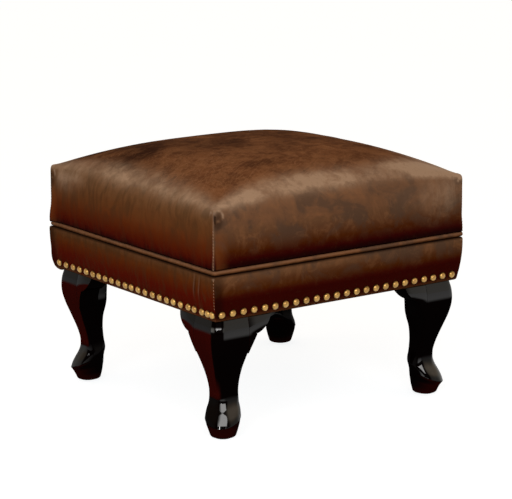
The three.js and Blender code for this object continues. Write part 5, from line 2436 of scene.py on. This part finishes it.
BORDER_FRONTS: Ramp = (
    (0.00, (0.0720, 0.0270, 0.0108)),
    (0.05, (0.0540, 0.0144, 0.0045)),
    (0.11, (0.0288, 0.0018, 0.0004)),
    (0.42, (0.0284, 0.0011, 0.0003)),
    (0.51, (0.0396, 0.0031, 0.0005)),
    (0.60, (0.0558, 0.0117, 0.0011)),
    (0.69, (0.0684, 0.0207, 0.0056)),
    (0.757, (0.0828, 0.0297, 0.0110)),
    (0.824, (0.1062, 0.0450, 0.0189)),
    (0.90, (0.1170, 0.0549, 0.0259)),
)
# The welt's colours by height: painted shade under the cord and a painted highlight on its upper side.
CORD: Ramp = (
    (0.00, (0.0090, 0.0023, 0.0007)),
    (0.20, (0.0405, 0.0126, 0.0027)),
    (0.40, (0.0900, 0.0342, 0.0126)),
    (0.60, (0.1560, 0.0680, 0.0310)),
    (0.80, (0.1700, 0.0820, 0.0430)),
    (1.00, (0.1100, 0.0470, 0.0230)),
)


def main() -> None:
    """Builds the footstool and its studio, in order."""
    logging.basicConfig(level=logging.INFO, format="%(name)s: %(message)s")
    sizes = SeatSizes()
    Studio().build()
    seat = AgedLeather(
        "seat_leather", sizes.cover_bottom, sizes.cover_bottom + 95 * MM, SEAT_SIDES, SEAT_FRONTS
    ).make()
    side = AgedLeather(
        "border_leather",
        sizes.border_bottom,
        sizes.border_top,
        BORDER_SIDES,
        BORDER_FRONTS,
        cloud_low=0.45,
        cloud_high=0.85,
        streak=0.34,
    ).make()
    low, high = sizes.welt_height - 5 * MM, sizes.welt_height + 4 * MM
    cord = AgedLeather("welt_leather", low, high, CORD, CORD, gathers=0.2).make()
    CabrioleLegs(sizes, PolishedMahogany().make()).build()
    nails = NailRow(sizes, AgedBrass().make())
    border = Border(sizes, side)
    border.build(nails)
    nails.build(border)
    Welt(sizes, cord).build()
    cushion = Cushion(sizes, seat).build()
    CornerSeams(sizes, SeamThread().make()).build(cushion)
    jute = WovenCloth("jute_strap", (0.36, 0.25, 0.12), (0.12, 0.07, 0.03), 900, 0.0006).make()
    hessian = WovenCloth("hessian_weave", (0.34, 0.24, 0.12), (0.10, 0.06, 0.03), 700, 0.0005).make()
    near_black, black_gap = (0.022, 0.022, 0.024), (0.006, 0.006, 0.007)
    black = WovenCloth("black_cambric", near_black, black_gap, 1400, 0.0003).make()
    HiddenCloths(hessian, black).build()
    wood = RawWood().make()
    steel = PlainMetal().make()
    dress_hidden_frame(
        {
            "rail_": wood,
            "corner_block_": wood,
            "webbing_": jute,
            "hanger_bolt_": steel,
            "washer_": steel,
            "nut_": steel,
            "glide_": MouldedNylon().make(),
        }
    )


if __name__ == "__main__":
    main()
